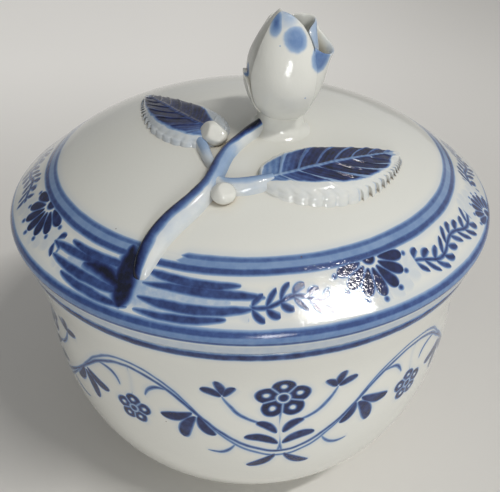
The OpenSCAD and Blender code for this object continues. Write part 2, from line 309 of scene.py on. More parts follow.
class Draft:
    """The node tree of one material while it is drawn up."""

    def __init__(self, name: str) -> None:
        """Starts a material with the plain Principled shader.

        Args:
            name: Name of the material.
        """
        self.material = bpy.data.materials.new(name)
        self.material.use_nodes = True
        self.tree = self.material.node_tree
        self.shader = self.tree.nodes["Principled BSDF"]
        places = self.tree.nodes.new("ShaderNodeTexCoord")
        scale = self.tree.nodes.new("ShaderNodeVectorMath")
        scale.operation = "SCALE"
        scale.inputs["Scale"].default_value = 1 / MM
        self.tree.links.new(places.outputs["Object"], scale.inputs[0])
        self.place = Wire(self.tree, scale.outputs[0])
        self.x, self.y, self.z = self.parts(self.place)
        self.normal = Wire(self.tree, places.outputs["Normal"])
        self.uv = Wire(self.tree, places.outputs["UV"])

    def parts(self, vector: Wire) -> tuple[Wire, Wire, Wire]:
        """Splits a vector into its three numbers."""
        node = self.tree.nodes.new("ShaderNodeSeparateXYZ")
        self.tree.links.new(vector.socket, node.inputs[0])
        return tuple(Wire(self.tree, out) for out in node.outputs)

    def facing_out(self, r: Wire) -> Wire:
        """How far the surface faces away from the axis, at a distance r from it."""
        nx, ny, _ = self.parts(self.normal)
        return (nx * self.x + ny * self.y) / r

    def feed(self, plug: str, value: Wire | Linear | float) -> None:
        """Feeds a socket of the shader, by its name, or sets it to a plain value."""
        connect(self.tree, value, self.shader.inputs[plug])

    def fed(self, plug: str) -> Wire:
        """What feeds a socket of the shader already."""
        return Wire(self.tree, self.shader.inputs[plug].links[0].from_socket)

    def noise(self, size: float, detail: float, rough: float, seed: float) -> Wire:
        """Cloudy unevenness on the object's own coordinates.

        Args:
            size: Rough width of one cloud in millimetres.
            detail: How many finer layers it has.
            rough: How strong those layers are.
            seed: Moves the pattern.

        Returns:
            A number from about -1 to 1.
        """
        node = self.tree.nodes.new("ShaderNodeTexNoise")
        node.noise_dimensions = "4D"
        node.inputs["W"].default_value = seed
        node.inputs["Scale"].default_value = 1 / size
        node.inputs["Detail"].default_value = detail
        node.inputs["Roughness"].default_value = rough
        self.tree.links.new(self.place.socket, node.inputs["Vector"])
        return Wire(self.tree, node.outputs["Fac"]).put("MULTIPLY_ADD", 2.0, -1.0)

    def specks(self, spacing: float, size: float) -> Wire:
        """Rare dots that float in the glaze.

        Args:
            spacing: Distance between possible dots in millimetres.
            size: Radius of a dot in millimetres.

        Returns:
            1 on a dot and 0 elsewhere.
        """
        node = self.tree.nodes.new("ShaderNodeTexVoronoi")
        node.inputs["Scale"].default_value = 1 / spacing
        self.tree.links.new(self.place.socket, node.inputs["Vector"])
        whole = 0.6 * size
        return Wire(self.tree, node.outputs["Distance"]).rise(size / spacing, whole / spacing)

    def mix(self, share: Wire | float, low: Wire | Colour, high: Wire | Colour) -> Wire:
        """Mixes two colours.

        Args:
            share: How much of the second colour is taken.
            low: The first colour.
            high: The second colour.

        Returns:
            The mixed colour.
        """
        node = self.tree.nodes.new("ShaderNodeMix")
        node.data_type = "RGBA"
        factor, first, second = (node.inputs[i] for i in (0, 6, 7))
        connect(self.tree, share, factor)
        for colour, plug in ((low, first), (high, second)):
            connect(self.tree, colour if isinstance(colour, Wire) else linear(colour), plug)
        return Wire(self.tree, node.outputs[2])

    def ramp(self, share: Wire, stops: tuple[tuple[float, Colour], ...]) -> Wire:
        """Colour that follows a number through named stops.

        Args:
            share: The number, from 0 to 1.
            stops: Place and colour of each stop.

        Returns:
            The colour.
        """
        node = self.tree.nodes.new("ShaderNodeValToRGB")
        marks = node.color_ramp.elements
        while len(marks) < len(stops):
            marks.new(0.5)
        for mark, (place, colour) in zip(marks, stops):
            mark.position = place
            mark.color = linear(colour)
        self.tree.links.new(share.socket, node.inputs[0])
        return Wire(self.tree, node.outputs["Color"])

    def crease(self, reach: float) -> Wire:
        """How deep a point lies in a crease, from 0 in the open to 1.

        Args:
            reach: Size of the creases looked for, in millimetres.

        Returns:
            The depth.
        """
        node = self.tree.nodes.new("ShaderNodeAmbientOcclusion")
        node.samples = 8
        node.inputs["Distance"].default_value = reach * MM
        return 1.0 - Wire(self.tree, node.outputs["AO"])

    def bump(self, height: Wire, depth: float) -> None:
        """Gives the shader a relief.

        Args:
            height: The relief's height, about -1 to 1.
            depth: What a height of 1 stands for, in millimetres.
        """
        node = self.tree.nodes.new("ShaderNodeBump")
        node.inputs["Distance"].default_value = depth * MM
        connect(self.tree, height, node.inputs["Height"])
        self.tree.links.new(node.outputs["Normal"], self.shader.inputs["Normal"])


@dataclass(frozen=True)
class Glaze:
    """Clear glaze on grey-white porcelain, with cobalt under it."""

    body: Colour = (224, 225, 219)
    warm: Colour = (206, 198, 180)
    # Painted shade: the brown that the deepest creases are darkened to.
    crease_shade: Colour = (148, 132, 110)
    speck: Colour = (92, 74, 58)
    cobalt: tuple[tuple[float, Colour], ...] = (
        (0.0, (205, 212, 216)),
        (0.16, (150, 173, 202)),
        (0.38, (98, 129, 175)),
        (0.58, (58, 82, 136)),
        (0.8, (31, 42, 88)),
        (1.0, (17, 22, 42)),
    )
    clean: float = 0.78
    pooling: float = 0.28
    halo: float = 0.075
    halo_w: float = 2.2
    speck_gap: float = 7.5
    speck_r: float = 0.17
    gloss: float = 0.09
    ripple: float = 0.035
    pits: float = 0.27
    ink_pits: float = 0.42

    def finish(
        self, draft: Draft, ink: Wire, near: Wire | None = None, crease: Wire | None = None
    ) -> None:
        """Lays the glaze over what is painted.

        Args:
            draft: The material's tree.
            ink: Strength of the cobalt, from 0 to 1.
            near: Millimetres inside the nearest stroke, for the tint round it.
            crease: Depth of creases, which turn warm, partly as pooled glaze and partly as painted shade,
                and brown as painted shade where deepest.
        """
        cloud = draft.noise(26, 2, 0.5, 3)
        base = draft.mix((cloud * 0.5 + 0.35).within(), self.body, self.warm)
        base = draft.mix(self.clean, base, self.body)
        if crease is not None:
            # Painted shade in creases: they turn warm, partly as pooled glaze, and the deepest are
            # darkened to brown.
            base = draft.mix((crease * 0.9).within(), base, self.warm)
            base = draft.mix(crease.rise(0.4, 0.9) * 0.7, base, self.crease_shade)
        pooled = (ink * (1.0 + draft.noise(1.3, 3, 0.6, 5) * self.pooling)).within()
        if near is not None:
            pooled = pooled.highest(near.rise(-self.halo_w, 0.3) * self.halo)
        colour = draft.mix(pooled.rise(0.0, 0.15), base, draft.ramp(pooled, self.cobalt))
        specks = draft.specks(self.speck_gap, self.speck_r)
        draft.feed("Base Color", draft.mix(specks * 0.8, colour, self.speck))
        draft.feed("Roughness", (draft.noise(3.2, 3, 0.6, 8) * 0.03 + self.gloss).highest(0.03))
        pitted = ink.rise(0.1, 0.7) * self.ink_pits + self.pits
        waves = draft.noise(5.5, 2, 0.5, 11) * 0.8
        draft.bump(waves + draft.noise(0.5, 2, 0.5, 12) * pitted, self.ripple)


@dataclass(frozen=True)
class LidForm:
    """Sizes of the lid, and the height of its outer face."""

    radius: float = 50.0
    seat_z: float = 58.2
    lip_r: float = 48.6
    edge_rise: float = 3.8
    edge_round: float = 2.4
    slope: float = math.radians(37)
    band_w: float = 10.0
    dome_rise: float = 10.6
    soft: float = 0.8
    wall: float = 3.4
    flange_r: float = 43.3
    flange_in_r: float = 40.7
    flange_z: float = 53.6

    @property
    def edge_z(self) -> float:
        """Height of the widest circle."""
        return self.seat_z + self.edge_rise

    @property
    def edge_centre(self) -> float:
        """Radius at which the edge's rounding is centred."""
        return self.radius - self.edge_round

    @property
    def band_r(self) -> float:
        """Radius at which the sloping band meets the rounded edge."""
        return self.edge_centre + self.edge_round * math.sin(self.slope)

    @property
    def band_z(self) -> float:
        """Height at which the sloping band meets the rounded edge."""
        return self.edge_z + self.edge_round * math.cos(self.slope)

    @property
    def shoulder_r(self) -> float:
        """Radius of the shoulder between the dome and the band."""
        return self.radius - self.band_w

    @property
    def crown_z(self) -> float:
        """Height of the lid's middle."""
        shoulder = self.band_z + (self.band_r - self.shoulder_r) * math.tan(self.slope)
        return shoulder + self.dome_rise

    def top(self, r: np.ndarray) -> np.ndarray:
        """Height of the outer face at a distance from the axis.

        Args:
            r: Distances from the axis.

        Returns:
            One height for each.
        """
        dome_r = (self.shoulder_r**2 + self.dome_rise**2) / (2 * self.dome_rise)
        dome = self.crown_z - dome_r + np.sqrt(dome_r**2 - np.square(r))
        band = self.band_z + (self.band_r - np.asarray(r)) * math.tan(self.slope)
        close = np.maximum(self.soft - np.abs(dome - band), 0)
        return np.minimum(dome, band) - close**2 / (4 * self.soft)

    def at(self, x: float, y: float) -> float:
        """Height of the outer face at one place."""
        return float(self.top(math.hypot(x, y)))

    def on(self, flat: np.ndarray, height: np.ndarray) -> np.ndarray:
        """Lifts points of a plan to their heights above the lid's face."""
        z = self.top(np.hypot(flat[:, 0], flat[:, 1])) + height
        return np.column_stack([flat, z])


LID = LidForm()


def spot_of(vert: bmesh.types.BMVert) -> Spot:
    """A point's rounded place, by which it is found again after an extrusion."""
    return tuple(round(part, 5) for part in vert.co)


class Clay:
    """A mesh while it is shaped, in millimetres."""

    def __init__(self) -> None:
        """Starts with nothing."""
        self.bm = bmesh.new()
        self.bm.loops.layers.uv.new("surface")

    def turn(self, profile: np.ndarray, segments: int) -> "Clay":
        """Turns a profile about the axis, as on a wheel.

        Args:
            profile: Radius and height of its points, in order, with both ends on the axis.
            segments: Facets round the axis.

        Returns:
            The clay.
        """
        bm = self.bm
        ends = [bm.verts.new((0, 0, 0)), bm.verts.new((1, 0, 0))]
        edge = bm.edges.new(ends)
        bmesh.ops.subdivide_edges(bm, edges=[edge], cuts=len(profile) - 2)
        for vert, (r, z) in zip(sorted(bm.verts, key=lambda v: v.co.x), profile):
            vert.co = (r, 0, z)
        bmesh.ops.spin(
            bm,
            geom=bm.verts[:] + bm.edges[:],
            cent=(0, 0, 0),
            axis=(0, 0, 1),
            angle=math.tau,
            steps=segments,
            use_merge=True,
        )
        bmesh.ops.remove_doubles(bm, verts=bm.verts, dist=1e-4)
        bmesh.ops.recalc_face_normals(bm, faces=bm.faces)
        return self

    def sheet(self, across: int, along: int, form: Form) -> "Clay":
        """Rolls out a sheet and bends it to a form.

        Args:
            across: Facets across.
            along: Facets along.
            form: Gives the points for places across, from -1 to 1, and along, from 0 to 1.

        Returns:
            The clay.
        """
        made = bmesh.ops.create_grid(self.bm, x_segments=across, y_segments=along, size=1, calc_uvs=True)
        verts = made["verts"]
        u = np.array([v.co.x for v in verts])
        v = np.array([v.co.y for v in verts]) / 2 + 0.5
        for vert, point in zip(verts, form(u, v)):
            vert.co = point
        return self

    def rim(self) -> list[bmesh.types.BMEdge]:
        """Open edges of the sheet."""
        return [e for e in self.bm.edges if e.is_boundary]

    def rim_points(self) -> set[bmesh.types.BMVert]:
        """Points on the open edges."""
        return {v for e in self.rim() for v in e.verts}

    def wall(self, lower: float, outward: float) -> None:
        """Draws the open rim down and outwards by one step.

        Args:
            lower: How far down, in millimetres.
            outward: How far outwards.
        """
        sides = self.outward_at_rim()
        made = bmesh.ops.extrude_edge_only(self.bm, edges=self.rim())
        for vert in made["geom"]:
            if isinstance(vert, bmesh.types.BMVert):
                vert.co += sides[spot_of(vert)] * outward
                vert.co.z -= lower

    def outward_at_rim(self) -> dict[Spot, Vector]:
        """Finds the way out of the sheet, seen from above.

        Returns:
            A direction for each spot on the rim.
        """
        sides: dict[Spot, Vector] = {}
        for edge in self.rim():
            run = edge.verts[1].co - edge.verts[0].co
            away = Vector((run.y, -run.x, 0))
            middle = (edge.verts[0].co + edge.verts[1].co) / 2
            if away.dot(edge.link_faces[0].calc_center_median() - middle) > 0:
                away.negate()
            for vert in edge.verts:
                spot = spot_of(vert)
                sides[spot] = sides.get(spot, Vector()) + away
        for side in sides.values():
            side.normalize()
        return sides

    def floor(self) -> "Clay":
        """Closes the open rim."""
        bmesh.ops.holes_fill(self.bm, edges=self.rim(), sides=0)
        bmesh.ops.recalc_face_normals(self.bm, faces=self.bm.faces)
        return self

    def shell(self, across: int, along: int, form: Callable[..., np.ndarray], thick: float) -> "Clay":
        """Makes a closed body of an outer and an inner face, joined along their rims.

        Args:
            across: Facets across.
            along: Facets along.
            form: As for a sheet, and it takes the depth of the face as well.
            thick: Depth of the inner face.

        Returns:
            The clay.
        """
        for depth in (0.0, thick):
            self.sheet(across, along, partial(form, depth=depth))
        bmesh.ops.bridge_loops(self.bm, edges=self.rim())
        bmesh.ops.recalc_face_normals(self.bm, faces=self.bm.faces)
        return self

    def push(self, amount: Callable[[np.ndarray], np.ndarray]) -> "Clay":
        """Moves each point along its normal.

        Args:
            amount: Gives the millimetres for an array of points.

        Returns:
            The clay.
        """
        self.bm.normal_update()
        points = np.array([v.co for v in self.bm.verts])
        for vert, by in zip(self.bm.verts, amount(points)):
            vert.co += vert.normal * by
        return self

    def set_at(self, place: Matrix) -> "Clay":
        """Puts the whole piece in its place."""
        bmesh.ops.transform(self.bm, matrix=place, verts=self.bm.verts)
        return self

    def fire(
        self, name: str, body: Body, slot: Slot, material: bpy.types.Material, smooth: int = 0
    ) -> None:
        """Finishes the piece and hides the CAD node of its name, whose place it takes.

        Args:
            name: Name of the node that it replaces, from which its own is made.
            body: Body that it rides on.
            slot: Material slot that it belongs to; not used.
            material: Its finish.
            smooth: Levels of subdivision.
        """
        bmesh.ops.scale(self.bm, vec=(MM, MM, MM), verts=self.bm.verts)
        for face in self.bm.faces:
            face.smooth = True
        mesh = bpy.data.meshes.new(f"{name}_form")
        self.bm.to_mesh(mesh)
        self.bm.free()
        piece = add_object(f"{name}_glazed", mesh)
        mesh.materials.append(material)
        if smooth:
            finer = piece.modifiers.new("finer", "SUBSURF")
            finer.levels = smooth
            finer.render_levels = smooth
        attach(piece, body.value)
        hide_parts(name)
        LOG.info("%s: %d faces", piece.name, len(mesh.polygons))


@dataclass(frozen=True)
class LidPainting:
    """What is painted on the lid: two rings, a garland with half blossoms, and the rim band."""

    inner_ring: float = 39.85
    outer_ring: float = 41.5
    ring_half: float = 0.42
    rim_top_z: float = 63.1
    rim_low_z: float = 61.35
    band_top: float = 42.2
    middle_r: float = 45.4
    blossoms: int = 4
    blossom_at: float = -62.0
    stem_at: float = -114.0
    gap_end: float = 7.4
    petal_turn: float = math.radians(25.7)
    wave_w: float = 11.78
    leaf_gap: float = 2.35
    garland_leaf: Dab = Dab(0.0, 0.1, 46, 3.1, 1.05, 0.25, 0.2)
    commas: tuple[Dab, ...] = (
        Dab(0.5, 0.9, 2, 17.0, 1.8, 0.5, 0.0),
        Dab(0.5, 3.2, 1, 21.0, 1.7, -0.5, 0.1),
        Dab(0.5, 5.7, -1, 19.0, 1.8, 0.4, 0.0),
        Dab(0.5, 7.9, -3, 15.0, 1.5, 0.3, 0.1),
    )
    comma_wash: Dab = Dab(-4.0, 4.4, 0, 20.0, 8.5)
    pools: tuple[Dab, Dab] = (
        Dab(-19.6, -35.0, 257, 9.0, 4.0, 0.0, 0.2),
        Dab(-28.6, -34.8, 320, 9.6, 2.4, 0.6, 0.3),
    )

    def rings(self, draft: Draft, brush: Brush, r: Wire, outside: Wire, from_stem: Wire) -> None:
        """Paints the lines that run round the lid.

        Args:
            draft: The material's tree.
            brush: Gathers the strokes.
            r: Distance from the axis.
            outside: 1 on the outer face and 0 inside.
            from_stem: Way round from the stem's end, beside which the inner ring fades.
        """
        shake = draft.noise(14, 2, 0.5, 1) * 0.16
        thick = draft.noise(9, 2, 0.6, 2) * 0.12
        near_ring = r + shake
        gap = from_stem.rise(-0.5, 0.5) * from_stem.rise(self.gap_end, self.gap_end - 2.8)
        brush.touch(self.ring_half + thick - gap - abs(near_ring - self.inner_ring), 0.52, 0.36)
        brush.touch(self.ring_half + 0.08 + thick - abs(near_ring - self.outer_ring), 0.64, 0.36)
        between = (self.outer_ring - self.inner_ring) / 2
        middle = self.inner_ring + between
        brush.touch(between - gap - abs(near_ring - middle), 0.3 + thick, 0.3)
        upper = abs(draft.z + shake * 0.5 - self.rim_top_z)
        brush.touch((0.6 + thick - upper).lowest(r - 48.4), 0.6, 0.4)
        lower = abs(draft.z + shake * 0.5 - self.rim_low_z)
        brush.touch((0.36 + thick - lower).lowest(r - 49.0), 0.6, 0.3)
        wash = (draft.z - self.rim_low_z).lowest(self.rim_top_z - draft.z).lowest(r - 48.9)
        brush.touch(wash, 0.36 + thick * 0.5, 0.3)
        brush.hold(outside)

    def half_blossom(self, brush: Brush, x: Wire, y: Wire, size: float, tone: Wire) -> None:
        """Paints half a blossom whose petals spread from a point on the edge of the band.

        Args:
            brush: Gathers the strokes.
            x: Place along the band from the blossom's middle.
            y: Place across it from the edge that the blossom stands on.
            size: Scale of the blossom.
            tone: Strength of the ink.
        """
        far = x.length_with(y) / size
        angle = x.put("ARCTAN2", y)
        fold = angle.cell(self.petal_turn) * far
        along = (far - 2.0) / 5.0
        t = along.within()
        petal = (t * (1.0 - t)).root() * (t * 0.9 + 0.55) * 2.0 - abs(fold) - abs(along - t) * 9.0
        brush.touch(petal * size, tone)
        brush.touch((1.35 - far) * size, tone)
        brush.touch((0.42 - (far - 7.55).length_with(fold)) * size, tone * 0.8)

    def garland(self, brush: Brush, x: Wire, y: Wire, tone: Wire) -> None:
        """Paints the winding stem of the garland with its pairs of small leaves.

        Args:
            brush: Gathers the strokes.
            x: Place along the band.
            y: Place across it.
            tone: Strength of the ink.
        """
        offset = y - (x * (math.tau / self.wave_w)).put("SINE") * 0.9 - 4.4
        brush.touch(0.36 - abs(offset), tone)
        step = x.cell(self.leaf_gap) + 0.9
        brush.touch(self.garland_leaf.reach(step, abs(offset)), tone)

    def material(self, glaze: Glaze) -> bpy.types.Material:
        """Draws up the lid's finish.

        Args:
            glaze: The glaze over the painting.

        Returns:
            The material.
        """
        draft = Draft("lid_blue_and_white")
        r = draft.x.length_with(draft.y)
        above = draft.z - (LID.band_z + (LID.band_r - r) * math.tan(LID.slope))
        outside = above.rise(-2.3, -1.9).highest(r.rise(48.4, 48.7))
        outside = outside * draft.facing_out(r).rise(-0.02, 0.05)
        brush = Brush(r, 0.36)
        wander_x = draft.noise(7, 2, 0.5, 21) * 0.5
        wander_y = draft.noise(6, 2, 0.5, 22) * 0.4
        turn = draft.y.put("ARCTAN2", draft.x)
        x = (turn - math.radians(self.blossom_at)) * self.middle_r + wander_x
        y = (r - self.band_top) / math.cos(LID.slope) + wander_y
        repeat = math.tau * self.middle_r / self.blossoms
        here = x.cell(repeat)
        there = (x + repeat / 2).cell(repeat)
        from_stem = (turn - math.radians(self.stem_at)).cell(math.tau) * self.middle_r + wander_x
        uneven = draft.noise(2.4, 3, 0.6, 23) * 0.24
        clear = abs(from_stem).rise(18.5, 19.5)
        free = clear * abs(here).rise(8.6, 9.2) * abs(there).rise(5.6, 6.2)
        self.garland(brush, here, y, (uneven + 0.72) * free)
        self.half_blossom(brush, here, y + 0.4, 1.0, uneven + 0.86)
        self.half_blossom(brush, there, 8.8 - y, 0.66, (uneven + 0.78) * clear)
        side = abs(from_stem)
        brush.dabs(self.commas, side, y, uneven + 0.68, 0.45)
        brush.touch(self.comma_wash.reach(side, y), uneven * 0.5 + 0.13, 1.4)
        inside_band = y.rise(-0.5, -0.1) * (draft.z - self.rim_top_z).rise(0.0, 0.4)
        brush.hold(inside_band * outside)
        lines = Brush(r, 0.27)
        self.rings(draft, lines, r, outside, from_stem)
        ink = lines.ink.highest(brush.ink)
        across, along = draft.x + wander_x * 1.6, draft.y + wander_y * 1.6
        first, second = (pool.reach(across, along) for pool in self.pools)
        pool = first.highest(second).lowest(draft.z - self.rim_top_z)
        ink = ink.highest(pool.rise(-1.2, 1.2) * 0.98 * outside)
        # Painted shade: a faint blue-grey wash darkens the lid's edge below its widest circle.
        under = draft.z.rise(LID.edge_z - 0.6, LID.edge_z - 1.8) * r.rise(47.5, 48.5)
        ink = ink.highest(under * 0.1)
        glaze.finish(draft, ink, lines.near.highest(brush.near), draft.crease(2.5))
        return draft.material


@dataclass(frozen=True)
class Lid:
    """The lid: a dome, a sloping band, a rounded edge and a locating flange."""

    form: LidForm = LID
    painting: LidPainting = LidPainting()
    segments: int = 288
    under_edge: float = math.radians(-30)

    def profile(self) -> np.ndarray:
        """Draws the outline from the crown over the edge and the flange back to the axis.

        Returns:
            Radius and height of each point.
        """
        f = self.form
        steps = np.concatenate([np.linspace(0, 36, 19)[:-1], np.linspace(36, f.band_r, 27)])
        top = np.column_stack([steps, f.top(steps)])
        angles = np.linspace(math.pi / 2 - f.slope, self.under_edge, 15)[1:]
        edge = np.column_stack([np.cos(angles), np.sin(angles)]) * f.edge_round
        edge += [f.edge_centre, f.edge_z]
        corners = [
            ((f.lip_r + 0.5, f.seat_z + 0.5), 0.25),
            ((f.lip_r, f.seat_z), 0.2),
            ((f.flange_r, f.seat_z), 0.25),
            ((f.flange_r, f.flange_z), 0.7),
            ((f.flange_in_r, f.flange_z), 0.7),
        ]
        dip_at = np.linspace(f.band_r, 0, 40)
        dip = np.arctan((f.top(dip_at) - f.top(dip_at + 0.1)) / 0.1)
        inside = np.column_stack([dip_at - f.wall * np.sin(dip), f.top(dip_at) - f.wall * np.cos(dip)])
        inside = inside[(inside[:, 0] > 0) & (inside[:, 0] < f.flange_in_r - 1)]
        corners.append(((f.flange_in_r, inside[0, 1] - 1.5), 0.8))
        turned = rounded([(edge[-1], 0.0), *corners, (inside[0], 0.0)])
        closing = np.array([[0.0, f.crown_z - f.wall]])
        return np.concatenate([top, edge[:-1], turned, inside[1:], closing])

    def build(self, glaze: Glaze) -> None:
        """Turns the lid and paints it."""
        clay = Clay().turn(self.profile(), self.segments)
        clay.fire("lid", Body.LID, Slot.LID, self.painting.material(glaze))


def rounded(corners: list[tuple[Flat, float]]) -> np.ndarray:
    """Rounds the corners of an outline.

    Args:
        corners: Each corner with its radius, where 0 keeps it sharp, as both ends are.

    Returns:
        The outline's points.
    """
    points: list[np.ndarray] = []
    spots = [np.asarray(c, float) for c, _ in corners]
    for i, (_, radius) in enumerate(corners):
        if radius == 0:
            points.append(spots[i][None])
            continue
        ends = []
        for way in (spots[i - 1] - spots[i], spots[i + 1] - spots[i]):
            far = np.linalg.norm(way)
            ends.append(spots[i] + way / far * min(radius, far / 2.2))
        points.append(bezier([ends[0], spots[i], ends[1]], np.linspace(0, 1, 5)))
    return np.concatenate(points)


@dataclass(frozen=True)
class BowlPainting:
    """What is painted on the bowl: a winding vine with blossoms, and a line under the lip."""

    repeats: int = 5
    blossom_at: float = -83.0
    middle_r: float = 45.4
    vine_z: float = 38.5
    vine_rise: float = 9.0
    lip_line_z: float = 57.15
    stalks: tuple[Dab, ...] = (
        Dab(0.4, 29.6, 91, 11.5, 0.6, 0.8),
        Dab(28.5, 48.0, -90, 9.0, 0.6, 0.7),
    )
    leaves: tuple[Dab, ...] = (
        Dab(0.4, 32.0, 20, 6.6, 2.1, 0.7, 0.2),
        Dab(0.6, 35.2, 42, 5.0, 1.8, 0.5, 0.2),
        Dab(0.8, 28.4, -38, 7.0, 1.9, -0.7, 0.2),
        Dab(16.2, 39.6, -20, 6.8, 2.2, -0.6, 0.2),
        Dab(15.6, 38.8, -68, 7.0, 2.4, 0.6, 0.2),
        Dab(15.0, 39.0, -122, 5.8, 2.0, 0.6, 0.2),
        Dab(10.6, 45.2, 22, 4.0, 1.8, 0.2, 0.1),
        Dab(10.4, 45.6, 74, 4.0, 1.7, 0.2, 0.1),
        Dab(10.2, 45.2, 126, 3.4, 1.5, -0.2, 0.1),
    )
    tendrils: tuple[Dab, ...] = (
        Dab(2.6, 38.0, 42, 10.6, 0.6, -1.3),
        Dab(20.6, 44.2, -30, 6.0, 0.7, 1.3),
        Dab(8.4, 31.6, -26, 6.0, 0.7, -1.3),
    )
    dry_clay: tuple[Colour, Colour] = ((205, 188, 166), (188, 168, 146))

    def blossom(self, brush: Brush, x: Wire, y: Wire, size: float, tone: Wire) -> None:
        """Paints a blossom of five petals, each with a white dot, round a small eye.

        Args:
            brush: Gathers the strokes.
            x: Place round the bowl from the blossom's middle.
            y: Height above its middle.
            size: Radius of the blossom.
            tone: Strength of the ink.
        """
        far = x.length_with(y) / size
        angle = abs(x.put("ARCTAN2", y).cell(math.tau / 5))
        edge = 1.0 - angle * angle * 0.75
        gap = (math.pi / 5 - angle) * far - 0.035
        dot = (far - 0.63).length_with(angle * far) - 0.13
        petal = (edge - far).lowest(gap).lowest(dot).lowest(far - 0.3)
        brush.touch(petal * size, tone)
        brush.touch((0.19 - far) * size, tone)

    def material(self, glaze: Glaze) -> bpy.types.Material:
        """Draws up the bowl's finish.

        Args:
            glaze: The glaze over the painting.

        Returns:
            The material.
        """
        draft = Draft("bowl_blue_and_white")
        r = draft.x.length_with(draft.y)
        wander_x = draft.noise(8, 2, 0.5, 31) * 0.6
        wander_y = draft.noise(7, 2, 0.5, 32) * 0.5
        uneven = draft.noise(2.6, 3, 0.6, 33) * 0.24
        repeat = math.tau * self.middle_r / self.repeats
        turn = draft.y.put("ARCTAN2", draft.x) - math.radians(self.blossom_at)
        x = (turn * self.middle_r + wander_x).cell(repeat)
        y = draft.z + wander_y
        side = abs(x)
        brush = Brush(r, 0.4)
        turning = x * (math.tau / repeat)
        rise = self.vine_rise * math.tau / repeat
        offset = y - self.vine_z + turning.put("COSINE") * self.vine_rise
        slope = turning.put("SINE") * rise
        across = offset / (slope * slope + 1.0).root()
        brush.touch(0.3 - abs(across), uneven + 0.7)
        brush.touch(0.22 - abs(across + 1.5 * turning.put("COSINE")), uneven + 0.6)
        self.blossom(brush, x - 0.3, y - 44.6, 5.2, uneven + 0.88)
        self.blossom(brush, repeat / 2 - side, y - 36.0, 3.8, uneven + 0.84)
        brush.dabs(self.stalks, side, y, uneven + 0.62)
        brush.dabs(self.leaves, side, y, uneven + 0.8)
        brush.dabs(self.tendrils, side, y, uneven + 0.62)
        line = abs(draft.z + wander_y * 0.3 - self.lip_line_z)
        brush.touch(0.7 + uneven * 0.6 - line, uneven + 0.74, 0.4)
        brush.hold(draft.facing_out(r).rise(0.2, 0.4))
        glaze.finish(draft, brush.ink, brush.near)
        self.bare_foot(draft)
        return draft.material

    def bare_foot(self, draft: Draft) -> None:
        """Leaves the standing face of the foot ring unglazed, in dry pinkish clay.

        Args:
            draft: The material's tree, with its glaze laid.
        """
        low = (draft.z + draft.noise(2.0, 3, 0.6, 41) * 0.25).rise(1.0, 0.75)
        bare = low * draft.x.length_with(draft.y).rise(23.4, 23.9)
        clay = draft.mix(draft.noise(0.6, 4, 0.7, 42) * 0.4 + 0.5, *self.dry_clay)
        draft.feed("Base Color", draft.mix(bare, draft.fed("Base Color"), clay))
        draft.feed("Roughness", draft.fed("Roughness") + bare * 0.7)


@dataclass(frozen=True)
class Bowl:
    """The footed bowl."""

    lip_r: float = LID.lip_r
    height: float = LID.seat_z
    flare: float = 2.9
    belly_z: float = 42.0
    fullness: float = 0.58
    wall: float = 3.2
    rim_w: float = 4.6
    mouth_depth: float = 6.2
    floor_t: float = 4.0
    foot_r: float = 28.5
    foot_h: float = 2.6
    foot_w: float = 3.6
    segments: int = 288
    painting: BowlPainting = BowlPainting()

    @property
    def floor_z(self) -> float:
        """Height of the floor inside."""
        return self.foot_h + self.floor_t

    def outer(self) -> np.ndarray:
        """Draws the outer wall from the foot to the lip.

        Returns:
            Radius and height of each point.
        """
        belly_r = self.lip_r - self.flare
        low = bezier(
            [
                (self.foot_r, self.foot_h),
                (self.foot_r + self.fullness * (belly_r - self.foot_r), self.foot_h + 3.6),
                (belly_r + 0.1, self.belly_z * 0.48),
                (belly_r, self.belly_z),
            ],
            np.linspace(0, 1, 45),
        )
        above = self.height - self.belly_z
        high = bezier(
            [
                (belly_r, self.belly_z),
                (belly_r, self.belly_z + 0.4 * above),
                (self.lip_r - 0.35 * self.flare, self.belly_z + 0.7 * above),
                (self.lip_r, self.height - 0.8),
            ],
            np.linspace(0, 1, 21)[1:],
        )
        return np.concatenate([low, high])

    def inner(self) -> np.ndarray:
        """Draws the inner wall from the floor's edge to the mouth.

        Returns:
            Radius and height of each point.
        """
        outer = self.outer()
        run = np.gradient(outer, axis=0)
        run /= np.linalg.norm(run, axis=1)[:, None]
        inner = outer + self.wall * np.column_stack([-run[:, 1], run[:, 0]])
        mouth_z = self.height - self.mouth_depth
        return inner[(inner[:, 1] > self.floor_z + 0.5) & (inner[:, 1] < mouth_z - 0.8)]

    def profile(self) -> np.ndarray:
        """Draws the outline from the axis under the foot, up the outside and down the inside.

        Returns:
            Radius and height of each point.
        """
        inner = self.inner()
        outer = self.outer()
        mouth_r = self.lip_r - self.rim_w
        level_r = inner[0, 0] - 12
        ring_in = self.foot_r - self.foot_w
        under = np.column_stack([np.linspace(0, ring_in - 2, 8), np.full(8, self.foot_h - 0.6)])
        foot = rounded(
            [
                (under[-1], 0.0),
                ((ring_in - 0.4, self.foot_h - 0.6), 0.6),
                ((ring_in + 0.1, 0.0), 0.5),
                ((self.foot_r - 0.1, 0.0), 0.7),
                ((self.foot_r, self.foot_h), 0.4),
                (outer[1], 0.0),
            ]
        )
        lip = rounded(
            [
                (outer[-1], 0.0),
                ((self.lip_r, self.height), 0.8),
                ((mouth_r, self.height), 0.5),
                ((mouth_r, self.height - self.mouth_depth), 0.8),
                (inner[-1], 0.0),
            ]
        )
        floor = [((inner[0, 0] - 1.5, self.floor_z), 1.2), ((level_r, self.floor_z), 0.0)]
        bottom = rounded([(inner[0], 0.0), *floor])
        rest = np.column_stack([np.linspace(level_r, 0, 6)[1:], np.full(5, self.floor_z)])
        return np.concatenate([under[:-1], foot, outer[2:-1], lip, inner[-2:0:-1], bottom, rest])

    def build(self, glaze: Glaze) -> None:
        """Turns the bowl and paints it."""
        clay = Clay().turn(self.profile(), self.segments)
        clay.fire("bowl", Body.BOWL, Slot.BOWL, self.painting.material(glaze))


